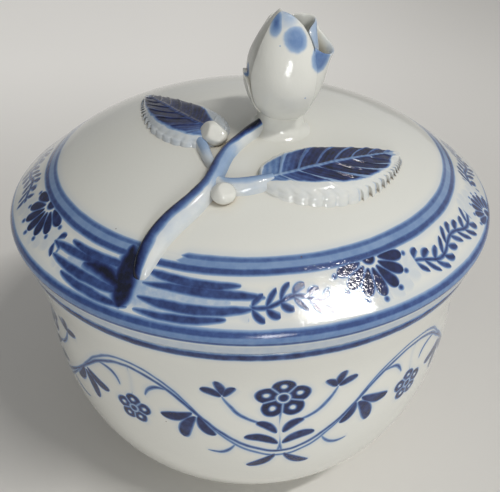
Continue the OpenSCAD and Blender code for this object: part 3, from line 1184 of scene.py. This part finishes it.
@dataclass(frozen=True)
class PasteFinish:
    """Oily red paste with short fibres in it."""

    red: Colour = (176, 32, 22)
    deep: Colour = (118, 16, 14)

    def material(self) -> bpy.types.Material:
        """Draws up the paste's finish.

        Returns:
            The material.
        """
        draft = Draft("cinnabar_paste")
        cloud = draft.noise(6, 4, 0.6, 51)
        fibre = draft.noise(0.7, 5, 0.7, 52)
        share = (cloud * 0.5 + fibre * 0.4 + 0.4).within()
        draft.feed("Base Color", draft.mix(share, self.red, self.deep))
        draft.feed("Roughness", fibre * 0.18 + 0.42)
        draft.bump(fibre * 0.6 + draft.noise(0.25, 3, 0.7, 53) * 0.4, 0.12)
        return draft.material


@dataclass(frozen=True)
class Paste:
    """The cake of seal paste on the bowl's floor, worked round with a spatula."""

    depth: float = 17.0
    rise: float = 4.0
    slack: float = 0.06

    def build(self, bowl: Bowl) -> None:
        """Shapes the cake in the bowl.

        Args:
            bowl: The bowl that it lies in.
        """
        wall = bowl.inner()
        top_z = bowl.floor_z + self.depth
        side = wall[wall[:, 1] < top_z]
        edge_r = float(np.interp(top_z, wall[:, 1], wall[:, 0]))
        r = np.linspace(1, 0, 46) ** 0.9 * edge_r
        crown = np.column_stack([r, top_z + self.rise * (1 - (r / edge_r) ** 2)])
        start = np.array([[0, bowl.floor_z], [wall[0, 0] - 1.5, bowl.floor_z]])
        profile = np.concatenate([start, side, crown])
        profile[:, 0] = np.maximum(profile[:, 0] - self.slack, 0)
        clay = Clay().turn(profile, 144)
        clay.push(lambda points: self.strokes(points, edge_r, top_z))
        clay.fire("seal_paste", Body.BOWL, Slot.PASTE, PasteFinish().material())

    def strokes(self, points: np.ndarray, edge_r: float, top_z: float) -> np.ndarray:
        """Folds that the spatula leaves, which stay below the cake's own outline.

        Args:
            points: The cake's points.
            edge_r: Radius of the cake.
            top_z: Height of its edge.

        Returns:
            How far each point moves along its normal.
        """
        r = np.hypot(points[:, 0], points[:, 1])
        turn = np.arctan2(points[:, 1], points[:, 0])
        swirl = np.sin(3 * turn + r * 0.42 + 0.8 * lumps(points, 9, 4))
        folds = 0.5 * swirl * np.minimum(r / 12, 1) + 0.5 * lumps(points, 5, 5) - 0.75
        free = (points[:, 2] > top_z - 0.2) * np.clip((edge_r - r) / 2.5, 0, 1)
        return folds * free


@dataclass(frozen=True)
class StemLine:
    """A half-round strip of clay laid on the lid along a route.

    Its widths and heights are shares of the full ones at the points of the route.
    """

    route: tuple[Flat, ...]
    widths: tuple[float, ...]
    heights: tuple[float, ...]
    width: float
    height: float
    seed: int
    rise: float = 0.02
    fade: float = 0.05
    wrap: float = math.radians(108)

    def form(self, u: np.ndarray, v: np.ndarray) -> np.ndarray:
        """Places the strip's upper face.

        Args:
            u: Places across, from -1 to 1.
            v: Places along, from 0 to 1.

        Returns:
            The points in space.
        """
        route = np.array(self.route)
        last = len(route) - 1
        t = v * last
        run = spline(route, np.minimum(t + 0.05, last)) - spline(route, np.maximum(t - 0.05, 0))
        run /= np.linalg.norm(run, axis=1)[:, None]
        side = np.column_stack([run[:, 1], -run[:, 0]])
        half = spline(np.array(self.widths), t) * self.width / 2
        tall = spline(np.array(self.heights), t) * self.height
        close = np.minimum((1 - v) / self.fade, v / self.rise)
        ends = np.sqrt(np.clip(1 - (1 - np.clip(close, 0, 1)) ** 2, 0.0004, 1))
        half = half * (0.35 + 0.65 * ends)
        tall = tall * ends
        angle = u * self.wrap
        arch = np.where(np.abs(angle) < math.pi / 2, np.cos(angle), 0)
        over = np.maximum(np.abs(angle) - math.pi / 2, 0)
        reach = np.where(over > 0, 1 + over * 0.35, np.abs(np.sin(angle))) * np.sign(u)
        height = tall * (arch**0.85 + 0.1 * (over == 0)) - over * 1.6
        flat = spline(route, t) + side * (half * reach)[:, None]
        uneven = lumps(np.column_stack([flat, height * 0]), 3.2, self.seed)
        return LID.on(flat, height * (1 + 0.06 * uneven) + 0.02)

    def build(self, name: str, slot: Slot, material: bpy.types.Material, along: int) -> None:
        """Lays the strip.

        Args:
            name: Node that it stands for.
            slot: Its material slot.
            material: Its finish.
            along: Facets along it.
        """
        clay = Clay().sheet(28, along, self.form)
        clay.wall(lower=0.5, outward=0.0)
        clay.floor().fire(name, Body.LID, slot, material)


@dataclass(frozen=True)
class StemPainting:
    """A strip's wash: blue down one flank, darker away from the ridge, and white on the other."""

    edge: float = 0.42
    strength: float = 0.42
    depth: float = 0.5
    tint: float = 0.05
    crown: float = 0.0
    middle: float = 0.0
    soft: float = 0.07
    start: float = -1.0
    grow: float = 0.3
    mirrored: bool = False

    def material(self, name: str, glaze: Glaze) -> bpy.types.Material:
        """Draws up the finish.

        Args:
            name: Name of the material.
            glaze: The glaze over the wash.

        Returns:
            The material.
        """
        draft = Draft(name)
        u, v, _ = draft.parts(draft.uv)
        if self.mirrored:
            u = 1.0 - u
        shake = draft.noise(3.0, 2, 0.5, 61) * 0.05
        top = v.rise(0.35, 0.12) * self.crown
        side = u + shake + top * 0.3
        begun = v.rise(self.start, self.start + self.grow)
        flank = side.rise(self.edge - self.soft, self.edge + self.soft) * begun
        shade = side.rise(self.edge + 0.02, self.edge + 0.34) * self.depth
        deep = v.rise(0.1, 0.9) * 0.12 + self.strength
        middle = v.rise(0.22, 0.36) * v.rise(0.56, 0.44) * self.middle
        wash = (draft.noise(5.0, 1, 0.5, 62) * 0.04 + middle + self.tint).within()
        ink = (flank * (deep + shade + top)).highest(wash)
        glaze.finish(draft, ink, None, draft.crease(1.5))
        return draft.material


@dataclass(frozen=True)
class Leaf:
    """A thick leaf laid on the lid, with a notched edge and raised veins."""

    line: tuple[Flat, Flat, Flat]
    half: float
    thick: float
    lean: float
    seed: int
    foot: float = 0.72
    front: float = 1.0
    notch: float = 0.26
    notches: int = 24
    veins: int = 8
    vein: float = 0.2
    start: float = 0.02
    end: float = 0.985
    slant: float = 0.25
    front_slant: float = 0.31
    swell: float = 1.33
    tip: float = 0.5
    midrib_w: float = 0.055
    grain: float = 0.12
    wall_steps: tuple[Flat, ...] = ((0.08, 0.14), (0.16, 0.13), (0.25, 0.1), (0.25, 0.05))

    def form(self, u: np.ndarray, v: np.ndarray) -> np.ndarray:
        """Places the leaf's upper face.

        Args:
            u: Places across, from -1 to 1.
            v: Places along, from 0 to 1.

        Returns:
            The points in space.
        """
        side = np.sign(u) * np.abs(u) ** 0.85
        row = self.start + (self.end - self.start) * v
        slant = np.where(side * self.front > 0, self.front_slant, self.slant)
        t = row + slant * np.abs(side) ** 1.25 * np.sin(math.pi * row)
        run = bezier(self.line, t + 0.01) - bezier(self.line, t - 0.01)
        run /= np.linalg.norm(run, axis=1)[:, None]
        across = np.column_stack([run[:, 1], -run[:, 0]])
        power = 0.75 + self.lean * np.sign(side)
        reach = np.clip(t, 0, 1) ** power
        half = self.half * np.maximum(np.sin(math.pi * np.clip(reach, 0, 1)), 0) ** 0.8
        tooth = self.notch * (0.5 + 0.5 * np.cos(math.tau * self.notches * v)) ** 2
        at_edge = np.maximum(0, (np.abs(side) - 0.8) / 0.2)
        bite = tooth * at_edge * np.minimum(1, half / 3.5) * np.clip((1 - v) * 5, 0, 1)
        flat = bezier(self.line, t) + across * (side * (half - bite))[:, None]
        body = bezier((self.foot, self.swell, self.tip), t) * self.thick
        rib = np.maximum(np.cos(math.tau * self.veins * v), 0) ** 8 * (1 - np.abs(side) ** 4)
        midrib = 1.3 * np.exp(-((side / self.midrib_w) ** 2))
        grow = np.minimum(1, half / 1.5)
        height = body - 1.25 * np.abs(side) ** 6 - 0.35 * (1 - side**2)
        height += self.vein * np.maximum(rib, midrib) * grow
        height += self.grain * lumps(np.column_stack([flat, flat[:, 0] * 0]), 3.5, self.seed)
        return LID.on(flat, height)

    def build(self, name: str, material: bpy.types.Material) -> None:
        """Lays the leaf.

        Args:
            name: Node that it stands for.
            material: Its finish.
        """
        clay = Clay().sheet(56, 256, self.form)
        gaps = [v.co.z - LID.at(v.co.x, v.co.y) for v in clay.rim_points()]
        tall = max(sum(gaps) / len(gaps), 0.5)
        for share, outward in self.wall_steps:
            clay.wall(share * tall, outward)
        self.settle(clay, height=0.12, outward=0.1)
        self.settle(clay, height=-0.35, outward=0.35)
        clay.floor().fire(name, Body.LID, Slot.LEAF, material)

    def settle(self, clay: Clay, height: float, outward: float) -> None:
        """Draws the rim down to a height above the lid.

        Args:
            clay: The leaf.
            height: Height above the lid's face.
            outward: How far outwards the rim moves.
        """
        clay.wall(lower=0.0, outward=outward)
        for vert in clay.rim_points():
            vert.co.z = LID.at(vert.co.x, vert.co.y) + height


@dataclass(frozen=True)
class LeafPainting:
    """Navy strokes between thin pale veins, and a white rim that is wider on the front half."""

    veins: int = Leaf.veins
    notches: int = Leaf.notches
    strength: float = 0.88
    vein_tone: float = 0.28
    margin: float = 0.4
    back_margin: float = 0.25
    bare: float = 0.05
    front: float = 1.0

    def material(self, name: str, glaze: Glaze) -> bpy.types.Material:
        """Draws up the finish.

        Args:
            name: Name of the material.
            glaze: The glaze over the strokes.

        Returns:
            The material.
        """
        draft = Draft(name)
        u, v, _ = draft.parts(draft.uv)
        across = (u * 2.0 - 1.0) * self.front
        side = abs(across)
        ahead = across.rise(-0.04, 0.04)
        shake = draft.noise(1.8, 2, 0.5, 71)
        streak = draft.noise(0.9, 2, 0.6, 72)
        turns = (v - side * ahead * 0.05) * (math.tau * self.veins)
        wave = (turns + shake * 0.5).put("COSINE")
        fine = (turns * 3.3 + side * 2.0 + shake * 2.4).put("COSINE")
        between = (wave + side * side * 0.4 - 0.1).rise(0.99, 0.72)
        foot = v.rise(0.4, 0.04)
        ends = foot + v.rise(0.58, 0.92)
        rim = side + shake * 0.08 + ahead * (ends * self.margin + 0.16)
        rim = rim + (1.0 - ahead) * foot * self.back_margin
        strokes = between * side.rise(0.0, 0.05) * rim.rise(0.99, 0.82) * v.rise(0.94, 0.85)
        grain = (shake + streak) * 0.08 + fine * 0.05
        tone = grain + v.rise(0.0, 0.36) * 0.56 + side * 0.08 + (self.strength - 0.58)
        veil = grain + self.vein_tone + (1.0 - ahead) * 0.22
        veil = (veil * v.rise(-0.1, 0.3) * v.rise(0.98, 0.9) * rim.rise(1.05, 0.8)).within()
        ridges = (v * (math.tau * self.notches) + shake * 0.6).put("COSINE")
        groove = ridges.rise(0.5, 1.0) * side.rise(0.9, 1.0) * (v * 0.3 + shake * 0.1)
        bare = (shake * 0.03 + self.bare).within()
        ink = (strokes * tone).highest(veil).highest(groove.within()).highest(bare)
        glaze.finish(draft, ink, None, draft.crease(1.2))
        return draft.material


@dataclass(frozen=True)
class Touch:
    """One soft touch of the brush on a rounded piece, longer upwards by a factor."""

    place: Spot
    radius: float
    tone: float
    tall: float = 1.0
    soft: float = 0.9


@dataclass(frozen=True)
class KnobPainting:
    """Soft touches of blue on the rosebud, the two smallest of them specks."""

    touches: tuple[Touch, ...] = (
        Touch((7.8, -16.0, 99.2), 1.9, 0.34, 1.0, 1.0),
        Touch((4.4, -14.6, 102.7), 0.85, 0.52, 4.8, 0.7),
        Touch((6.4, -14.6, 102.6), 2.0, 0.13, 1.0, 1.5),
        Touch((12.9, -14.4, 95.2), 2.6, 0.42, 0.85, 1.1),
        Touch((13.6, -10.0, 98.6), 3.4, 0.15, 1.2, 1.4),
        Touch((-0.6, -11.6, 92.4), 0.5, 0.7, 1.6, 0.5),
        Touch((5.05, -16.35, 98.2), 0.12, 0.5, 1.0, 0.12),
        Touch((9.6, -16.9, 89.2), 0.12, 0.5, 1.0, 0.12),
    )

    def material(self, glaze: Glaze) -> bpy.types.Material:
        """Draws up the finish.

        Args:
            glaze: The glaze over the touches.

        Returns:
            The material.
        """
        draft = Draft("knob_white_and_blue")
        brush = Brush(draft.x, 0.75)
        shake = draft.noise(2.4, 2, 0.5, 81) * 0.5
        for touch in self.touches:
            x, y, z = touch.place
            flat = (draft.x - x).length_with(draft.y - y)
            far = flat.length_with((draft.z - z) / touch.tall)
            brush.touch(touch.radius + shake * touch.soft - far, touch.tone, touch.soft)
        wash = (draft.noise(4.0, 2, 0.5, 82) * 0.08 - 0.01).within()
        glaze.finish(draft, brush.ink.highest(wash), None, draft.crease(1.6) * 0.7)
        return draft.material


@dataclass(frozen=True)
class PetalCut:
    """How one petal is cut and wrapped."""

    name: str
    turn: float
    spread: float
    height: float
    layer: float
    curl: float
    tip: float
    slant: float
    skew: float = 0.0
    bow: float = 0.06
    edge: float = 0.42


@dataclass(frozen=True)
class Rosebud:
    """The rosebud: its base, the rolled heart and six petals."""

    place: Flat = (5.8, -9.6)
    neck_r: float = 4.4
    neck_z: float = -0.8
    root_z: float = -3.4
    spread: float = 0.5
    heart_turns: float = 2.3
    heart_h: float = 13.2
    heart_t: float = 0.4
    heart_swell: tuple[float, ...] = (1.75, 2.8, 2.45, 1.7)
    base_h: float = 2.9
    lean: float = 5.0
    tall: float = 20.0
    full: float = 9.5
    foot_r: float = 3.9
    tip_r: float = 3.0
    taper: float = 0.75
    step: float = 1.1
    thick: float = 0.9
    waist: float = 0.42
    petals: tuple[PetalCut, ...] = (
        PetalCut("petal_left", -136, 48, 0.98, 0, 0.1, 0.35, 0),
        PetalCut("petal_front", -84, 45, 0.94, 1, 0, 0.8, 0.11, -12),
        PetalCut("petal_right", 4, 55, 0.63, -0.1, 2, 0.95, -0.12, 0, -0.26),
        PetalCut("petal_back", 38, 60, 0.87, -1, 1.9, 0.8, -0.05),
        PetalCut("petal_rear", 128, 42, 0.86, 0, 0.3, 0.6, 0),
        PetalCut("petal_low", 184, 28, 0.4, 0.6, 0, 0.25, 0, edge=0.85),
    )

    def seat(self) -> Matrix:
        """Where the bud stands on the lid, with its lean."""
        z = LID.at(*self.place) + self.base_h
        return Matrix.Translation((*self.place, z)) @ Matrix.Rotation(math.radians(self.lean), 4, "Y")

    def radius(self, share: np.ndarray) -> np.ndarray:
        """The bud's radius at a share of its height."""
        return bezier([self.foot_r, self.full, self.taper * self.full, self.tip_r], share)

    def petal(self, cut: PetalCut, u: np.ndarray, v: np.ndarray, depth: float) -> np.ndarray:
        """Places one face of a petal.

        Args:
            cut: How the petal is cut.
            u: Places across, from -1 to 1.
            v: Places along, from 0 to 1.
            depth: How deep the face lies under the outside, away from the petal's edge.

        Returns:
            The points in space.
        """
        above = np.clip((v - self.waist) / (1 - self.waist), -1, 1)
        bulge = np.sqrt(np.maximum(0, 1 - above**2))
        half = cut.spread * (cut.tip + (1 - cut.tip) * bulge)
        share = cut.height * (v * 1.02 - 0.02)
        ring = self.radius(share) + cut.layer * self.step * np.clip(v / 0.16, 0, 1) ** 0.7
        ring += cut.curl * v**5 * np.cos(math.pi / 2 * u) ** 2
        rim = cut.edge + (1 - cut.edge) * np.sqrt(np.maximum(0, (1 - u**4) * (1 - v**6)))
        angle = np.radians(cut.turn + cut.skew * bulge + u * half)
        z = share * self.tall * (1 - (cut.slant * u + cut.bow * u**2) * v**2)
        r = ring - depth * rim
        points = np.column_stack([r * np.cos(angle), r * np.sin(angle), z])
        uneven = lumps(points, 4.5, int(abs(cut.turn)) % 7 + 1) * 0.16 * np.minimum(v * 3, 1)
        points[:, :2] *= 1 + (uneven / r)[:, None]
        return points

    def build(self, glaze: Glaze) -> None:
        """Shapes the bud.

        Args:
            glaze: The glaze over it.
        """
        finish = KnobPainting().material(glaze)
        self.build_base(finish)
        self.build_heart(finish)
        for cut in self.petals:
            clay = Clay().shell(28, 26, partial(self.petal, cut), self.thick).set_at(self.seat())
            clay.fire(cut.name, Body.LID, Slot.KNOB, finish, smooth=1)

    def build_base(self, finish: bpy.types.Material) -> None:
        """Shapes the base, which spreads onto the lid.

        Args:
            finish: Its material.
        """
        pulls = [(4.55, 0.7), (4.45, 0.1), (self.neck_r, -0.4), (self.neck_r, self.neck_z)]
        cup = bezier(pulls, np.linspace(0, 1, 12))
        foot = np.column_stack([np.full(16, self.neck_r), self.neck_z - np.linspace(0, 1, 17)[1:]])
        rest = np.array([[self.neck_r, self.root_z], [0, self.root_z]])
        profile = np.concatenate([[[0, 0.5], [4.0, 0.5]], cup, foot, rest])
        clay = Clay().turn(profile, 96)
        low = [(v, self.neck_z - v.co.z) for v in clay.bm.verts if v.co.z < self.neck_z - 0.05]
        clay.set_at(self.seat())
        for vert, share in low:
            self.spread_foot(vert, share)
        clay.push(lambda points: 0.12 * lumps(points, 3.0, 3))
        clay.fire("bud_base", Body.LID, Slot.KNOB, finish)

    def spread_foot(self, vert: bmesh.types.BMVert, share: float) -> None:
        """Draws a point of the foot out and down, so that the foot runs into the lid.

        Args:
            vert: The point, still on the neck.
            share: How far down the foot it lies, above 1 where it is hidden in the lid.
        """
        wider = 1 + self.spread * min(share, 1) ** 2.2
        vert.co.x += (vert.co.x - self.place[0]) * (wider - 1)
        vert.co.y += (vert.co.y - self.place[1]) * (wider - 1)
        above = self.base_h + self.neck_z
        height = above * max(1 - share, 0) ** 1.7 - 0.3 * min(share, 1) ** 4 - max(share - 1, 0) * 0.6
        vert.co.z = LID.at(vert.co.x, vert.co.y) + height

    def roll(self, u: np.ndarray, v: np.ndarray, depth: float) -> np.ndarray:
        """Places one face of the heart, which is rolled from one long petal.

        Args:
            u: Places along the roll, from -1 to 1.
            v: Places up it, from 0 to 1.
            depth: How deep the face lies under the roll's outside.

        Returns:
            The points in space.
        """
        turns = (u + 1) / 2 * self.heart_turns
        r = bezier(self.heart_swell, v) * (1 - 0.3 * turns) - depth
        angle = turns * math.tau + 1.0
        z = self.heart_h * v + 0.5 * np.sin(angle) * v**3
        return np.column_stack([r * np.cos(angle), r * np.sin(angle), z])

    def build_heart(self, finish: bpy.types.Material) -> None:
        """Rolls the heart."""
        clay = Clay().shell(96, 20, self.roll, self.heart_t).set_at(self.seat())
        clay.fire("bud_heart", Body.LID, Slot.KNOB, finish)


@dataclass(frozen=True)
class SmallBud:
    """A small closed bud, pressed onto the lid with a fingertip, which leaves flats on it."""

    name: str
    place: Flat
    radius: float
    flats: tuple[Spot, ...]
    seed: int
    tallness: float = 0.85
    stretch: float = 1.0
    flat_at: float = 0.78
    press: float = 0.8
    sunk: float = 0.2

    def build(self, finish: bpy.types.Material) -> None:
        """Shapes the bud and sets it on the lid.

        Args:
            finish: Its material.
        """
        clay = Clay()
        bmesh.ops.create_uvsphere(clay.bm, u_segments=48, v_segments=32, radius=1)
        tall = self.tallness * 2 * self.radius
        for vert in clay.bm.verts:
            for flat in self.flats:
                way = Vector(flat).normalized()
                past = vert.co.dot(way) - self.flat_at
                if past > 0:
                    vert.co -= way * past * self.press
            narrow = 1 - 0.08 * vert.co.z
            vert.co.x *= self.radius * narrow
            vert.co.y *= self.radius * narrow
            vert.co.z = tall * (1 + vert.co.z) / 2
        clay.push(lambda points: 0.1 * lumps(points, 1.6, self.seed))
        z = LID.at(*self.place) - self.sunk * tall
        longer = Matrix.Scale(self.stretch, 4, Vector((0.6, -0.8, 0)))
        clay.set_at(Matrix.Translation((*self.place, z)) @ longer)
        clay.fire(self.name, Body.LID, Slot.KNOB, finish)


@dataclass(frozen=True)
class Knob:
    """All that is built up on the lid."""

    stem: StemLine = StemLine(
        route=(
            (4, -9.6),
            (1.6, -11.8),
            (-1.2, -15),
            (-4.0, -18.9),
            (-5.6, -22.8),
            (-7.1, -26.8),
            (-9.7, -30.2),
            (-12.9, -33.0),
            (-15.6, -35.7),
            (-17.3, -38.2),
            (-18.3, -40.6),
        ),
        widths=(0.52, 0.5, 0.5, 0.55, 0.62, 0.7, 0.8, 0.86, 0.86, 0.8, 0.5),
        heights=(0.9, 0.78, 0.7, 0.7, 0.75, 0.82, 0.88, 0.88, 0.84, 0.72, 0.4),
        width=4.9,
        height=2.7,
        seed=1,
    )
    right_twig: StemLine = StemLine(
        route=((-6.6, -26.3), (-3.4, -27.0), (0.2, -26.8), (4.4, -25.6)),
        widths=(0.8, 0.8, 0.8, 0.6),
        heights=(0.8, 0.75, 0.75, 0.8),
        width=3.6,
        height=2.2,
        seed=2,
    )
    left_twig: StemLine = StemLine(
        route=((-6.5, -22.2), (-7.6, -19.6), (-8.5, -16.8), (-9.5, -13.8)),
        widths=(0.6, 0.75, 0.8, 0.8),
        heights=(0.7, 0.8, 0.8, 0.9),
        width=2.6,
        height=1.6,
        seed=3,
    )
    right_leaf: Leaf = Leaf(
        ((1.4, -26.2), (14.6, -25.3), (28.4, -13)), half=5.8, thick=3.6, lean=0.25, seed=4, foot=0.35
    )
    left_leaf: Leaf = Leaf(
        ((-4.6, -14.2), (-13.8, -10.7), (-22.6, 11.2)), half=5.4, thick=2.2, lean=-0.1, seed=5, front=-1.0
    )
    small_buds: tuple[SmallBud, SmallBud] = (
        SmallBud("side_bud", (-4.5, -28.9), 2.2, ((0.3, -0.5, 0.9),), 6),
        SmallBud(
            "leaf_bud",
            (-6.7, -14.1),
            2.35,
            ((-0.8, -0.3, 0.5), (0.1, -0.8, 0.5), (0.7, 0.3, 0.7)),
            7,
            tallness=0.95,
            stretch=1.3,
        ),
    )
    bud: Rosebud = Rosebud()
    stem_wash: StemPainting = StemPainting(crown=0.4, middle=0.13, start=0.06, grow=0.05, tint=0.07)
    blue_wash: StemPainting = StemPainting(0.45, 0.24, 0.12, 0.08, soft=0.3, start=0.0, mirrored=True)
    # The left twig's grey-blue tint is partly a pale wash and partly painted shade, standing in for the
    # shadow that the twig lies in.
    pale_wash_and_shade: StemPainting = StemPainting(0.2, 0.06, 0.04, 0.08)
    # The left leaf's all-over wash is stronger than the right's: partly pale cobalt, partly painted shade
    # for the shade that the leaf lies in.
    left_strokes: LeafPainting = LeafPainting(
        vein_tone=0.66, margin=0.05, back_margin=0.75, bare=0.08, front=-1.0
    )

    def build(self, glaze: Glaze) -> None:
        """Builds up the knob.

        Args:
            glaze: The glaze over all of it.
        """
        half_blue = self.stem_wash.material("stem_half_blue", glaze)
        blue = self.blue_wash.material("twig_blue", glaze)
        white = self.pale_wash_and_shade.material("twig_pale_wash_and_shade", glaze)
        right_finish = LeafPainting().material("right_leaf_strokes", glaze)
        left_finish = self.left_strokes.material("left_leaf_strokes", glaze)
        small_finish = KnobPainting(touches=()).material(glaze)
        self.stem.build("main_stem", Slot.STEM, half_blue, 120)
        self.right_twig.build("right_twig", Slot.STEM, blue, 36)
        self.left_twig.build("left_twig", Slot.KNOB, white, 28)
        self.right_leaf.build("right_leaf", right_finish)
        self.left_leaf.build("left_leaf", left_finish)
        for small in self.small_buds:
            small.build(small_finish)
        self.bud.build(glaze)


def seen_rays(tree: bpy.types.NodeTree) -> Wire:
    """1 on the rays by which a backdrop is seen or mirrored, and 0 on those that light the box.

    Args:
        tree: The node tree that asks.

    Returns:
        The share.
    """
    path = tree.nodes.new("ShaderNodeLightPath")
    seen = Wire(tree, path.outputs["Is Camera Ray"])
    for kind in ("Is Glossy Ray", "Is Transmission Ray"):
        seen = seen.highest(Wire(tree, path.outputs[kind]))
    return seen


def stand_up(
    name: str, data: bpy.types.ID, place: Spot, aim: Spot, roll: float = 0.0
) -> bpy.types.Object:
    """Sets up a lamp or a camera that looks at something.

    Args:
        name: Name of the object.
        data: The lamp or the camera.
        place: Where it stands, in metres.
        aim: What it looks at.
        roll: Turn about its own line of sight, in degrees.

    Returns:
        The object.
    """
    stand = add_object(name, data)
    stand.location = place
    facing = (Vector(aim) - Vector(place)).to_track_quat("-Z", "Y")
    stand.rotation_euler = (facing @ Quaternion((0, 0, 1), math.radians(roll))).to_euler()
    return stand


@dataclass(frozen=True)
class Softbox:
    """One lamp with a flat face."""

    name: str
    place: Spot
    aim: Spot
    wide: float
    tall: float
    power: float
    tint: Colour = (255, 255, 255)
    roll: float = 0.0

    def build(self) -> None:
        """Sets up the lamp."""
        lamp = bpy.data.lights.new(self.name, "AREA")
        lamp.shape = "RECTANGLE"
        lamp.size = self.wide
        lamp.size_y = self.tall
        lamp.energy = self.power
        lamp.color = linear(self.tint)[:3]
        stand_up(self.name, lamp, self.place, self.aim, self.roll)


@dataclass(frozen=True)
class Studio:
    """The pale floor, the lamps, the sky and the camera."""

    eye: Spot = (0.0, -0.1324, 0.1373)
    target: Spot = (0.0, 0.0, 0.0461)
    lens: float = 50.4
    sensor: float = 36.0
    floor: Colour = (226, 224, 220)
    floor_shade: Colour = (214, 212, 206)
    floor_r: float = 4.0
    sky: float = 0.27
    seen_sky: float = 0.55
    drift: float = 0.4
    dusk: float = 0.35
    glow: float = 0.34
    lamps: tuple[Softbox, ...] = (
        Softbox(
            "key",
            place=(0.439, -0.318, 0.845),
            aim=(0.0, 0.0, 0.05),
            wide=0.36,
            tall=0.018,
            power=4.1,
            tint=(255, 253, 249),
            roll=-30.5,
        ),
        Softbox(
            "front_window",
            place=(0.11, -0.72, 0.15),
            aim=(0.0, 0.0, 0.08),
            wide=0.12,
            tall=0.27,
            power=1.4,
            roll=-27.0,
        ),
    )

    def build(self) -> None:
        """Sets up the studio."""
        self.build_floor()
        self.build_sky()
        for lamp in self.lamps:
            lamp.build()
        camera = bpy.data.cameras.new("camera")
        camera.lens = self.lens
        camera.sensor_width = self.sensor
        camera.clip_start = 0.01
        camera.clip_end = 50
        bpy.context.scene.camera = stand_up("camera", camera, self.eye, self.target)
        bpy.context.scene.view_settings.view_transform = "Standard"

    def build_floor(self) -> None:
        """Lays the floor, which glows brighter towards the back and the left for camera and mirror rays,
        as painted light.
        """
        bm = bmesh.new()
        bmesh.ops.create_circle(bm, cap_ends=True, segments=96, radius=self.floor_r)
        mesh = bpy.data.meshes.new("floor")
        bm.to_mesh(mesh)
        bm.free()
        floor = add_object("floor", mesh)
        draft = Draft("pale_floor")
        cloud = draft.noise(60, 2, 0.5, 91) * 0.1 + 0.1
        draft.feed("Base Color", draft.mix(cloud, self.floor, self.floor_shade))
        draft.feed("Roughness", 0.85)
        # Painted light: the floor glows brighter towards the back and the left, seen only by camera and
        # mirror rays.
        draft.feed("Emission Color", linear(self.floor))
        glow = draft.y.rise(30, 260) * draft.x.rise(240, -60) * self.glow
        draft.feed("Emission Strength", glow * seen_rays(draft.tree))
        mesh.materials.append(draft.material)

    def build_sky(self) -> None:
        """Makes a soft sky, a little brighter on the right and dusky where its left is mirrored."""
        world = bpy.data.worlds.new("sky")
        bpy.context.scene.world = world
        world.use_nodes = True
        tree = world.node_tree
        light = tree.nodes["Background"]
        seen = seen_rays(tree)
        light.inputs["Color"].default_value = (1, 1, 1, 1)
        way = tree.nodes.new("ShaderNodeSeparateXYZ")
        tree.links.new(tree.nodes.new("ShaderNodeTexCoord").outputs["Generated"], way.inputs[0])
        right = Wire(tree, way.outputs["X"])
        lit = right * (self.drift * self.sky) + self.sky
        mirrored = right.lowest(0.0) * self.dusk + (self.seen_sky - self.sky)
        connect(tree, lit + seen * mirrored, light.inputs["Strength"])


def main() -> None:
    """Builds the box and its studio."""
    logging.basicConfig(level=logging.INFO, format="%(name)s %(message)s")
    glaze = Glaze()
    bowl = Bowl()
    bowl.build(glaze)
    Paste().build(bowl)
    Lid().build(glaze)
    Knob().build(glaze)
    Studio().build()


if __name__ == "__main__":
    main()
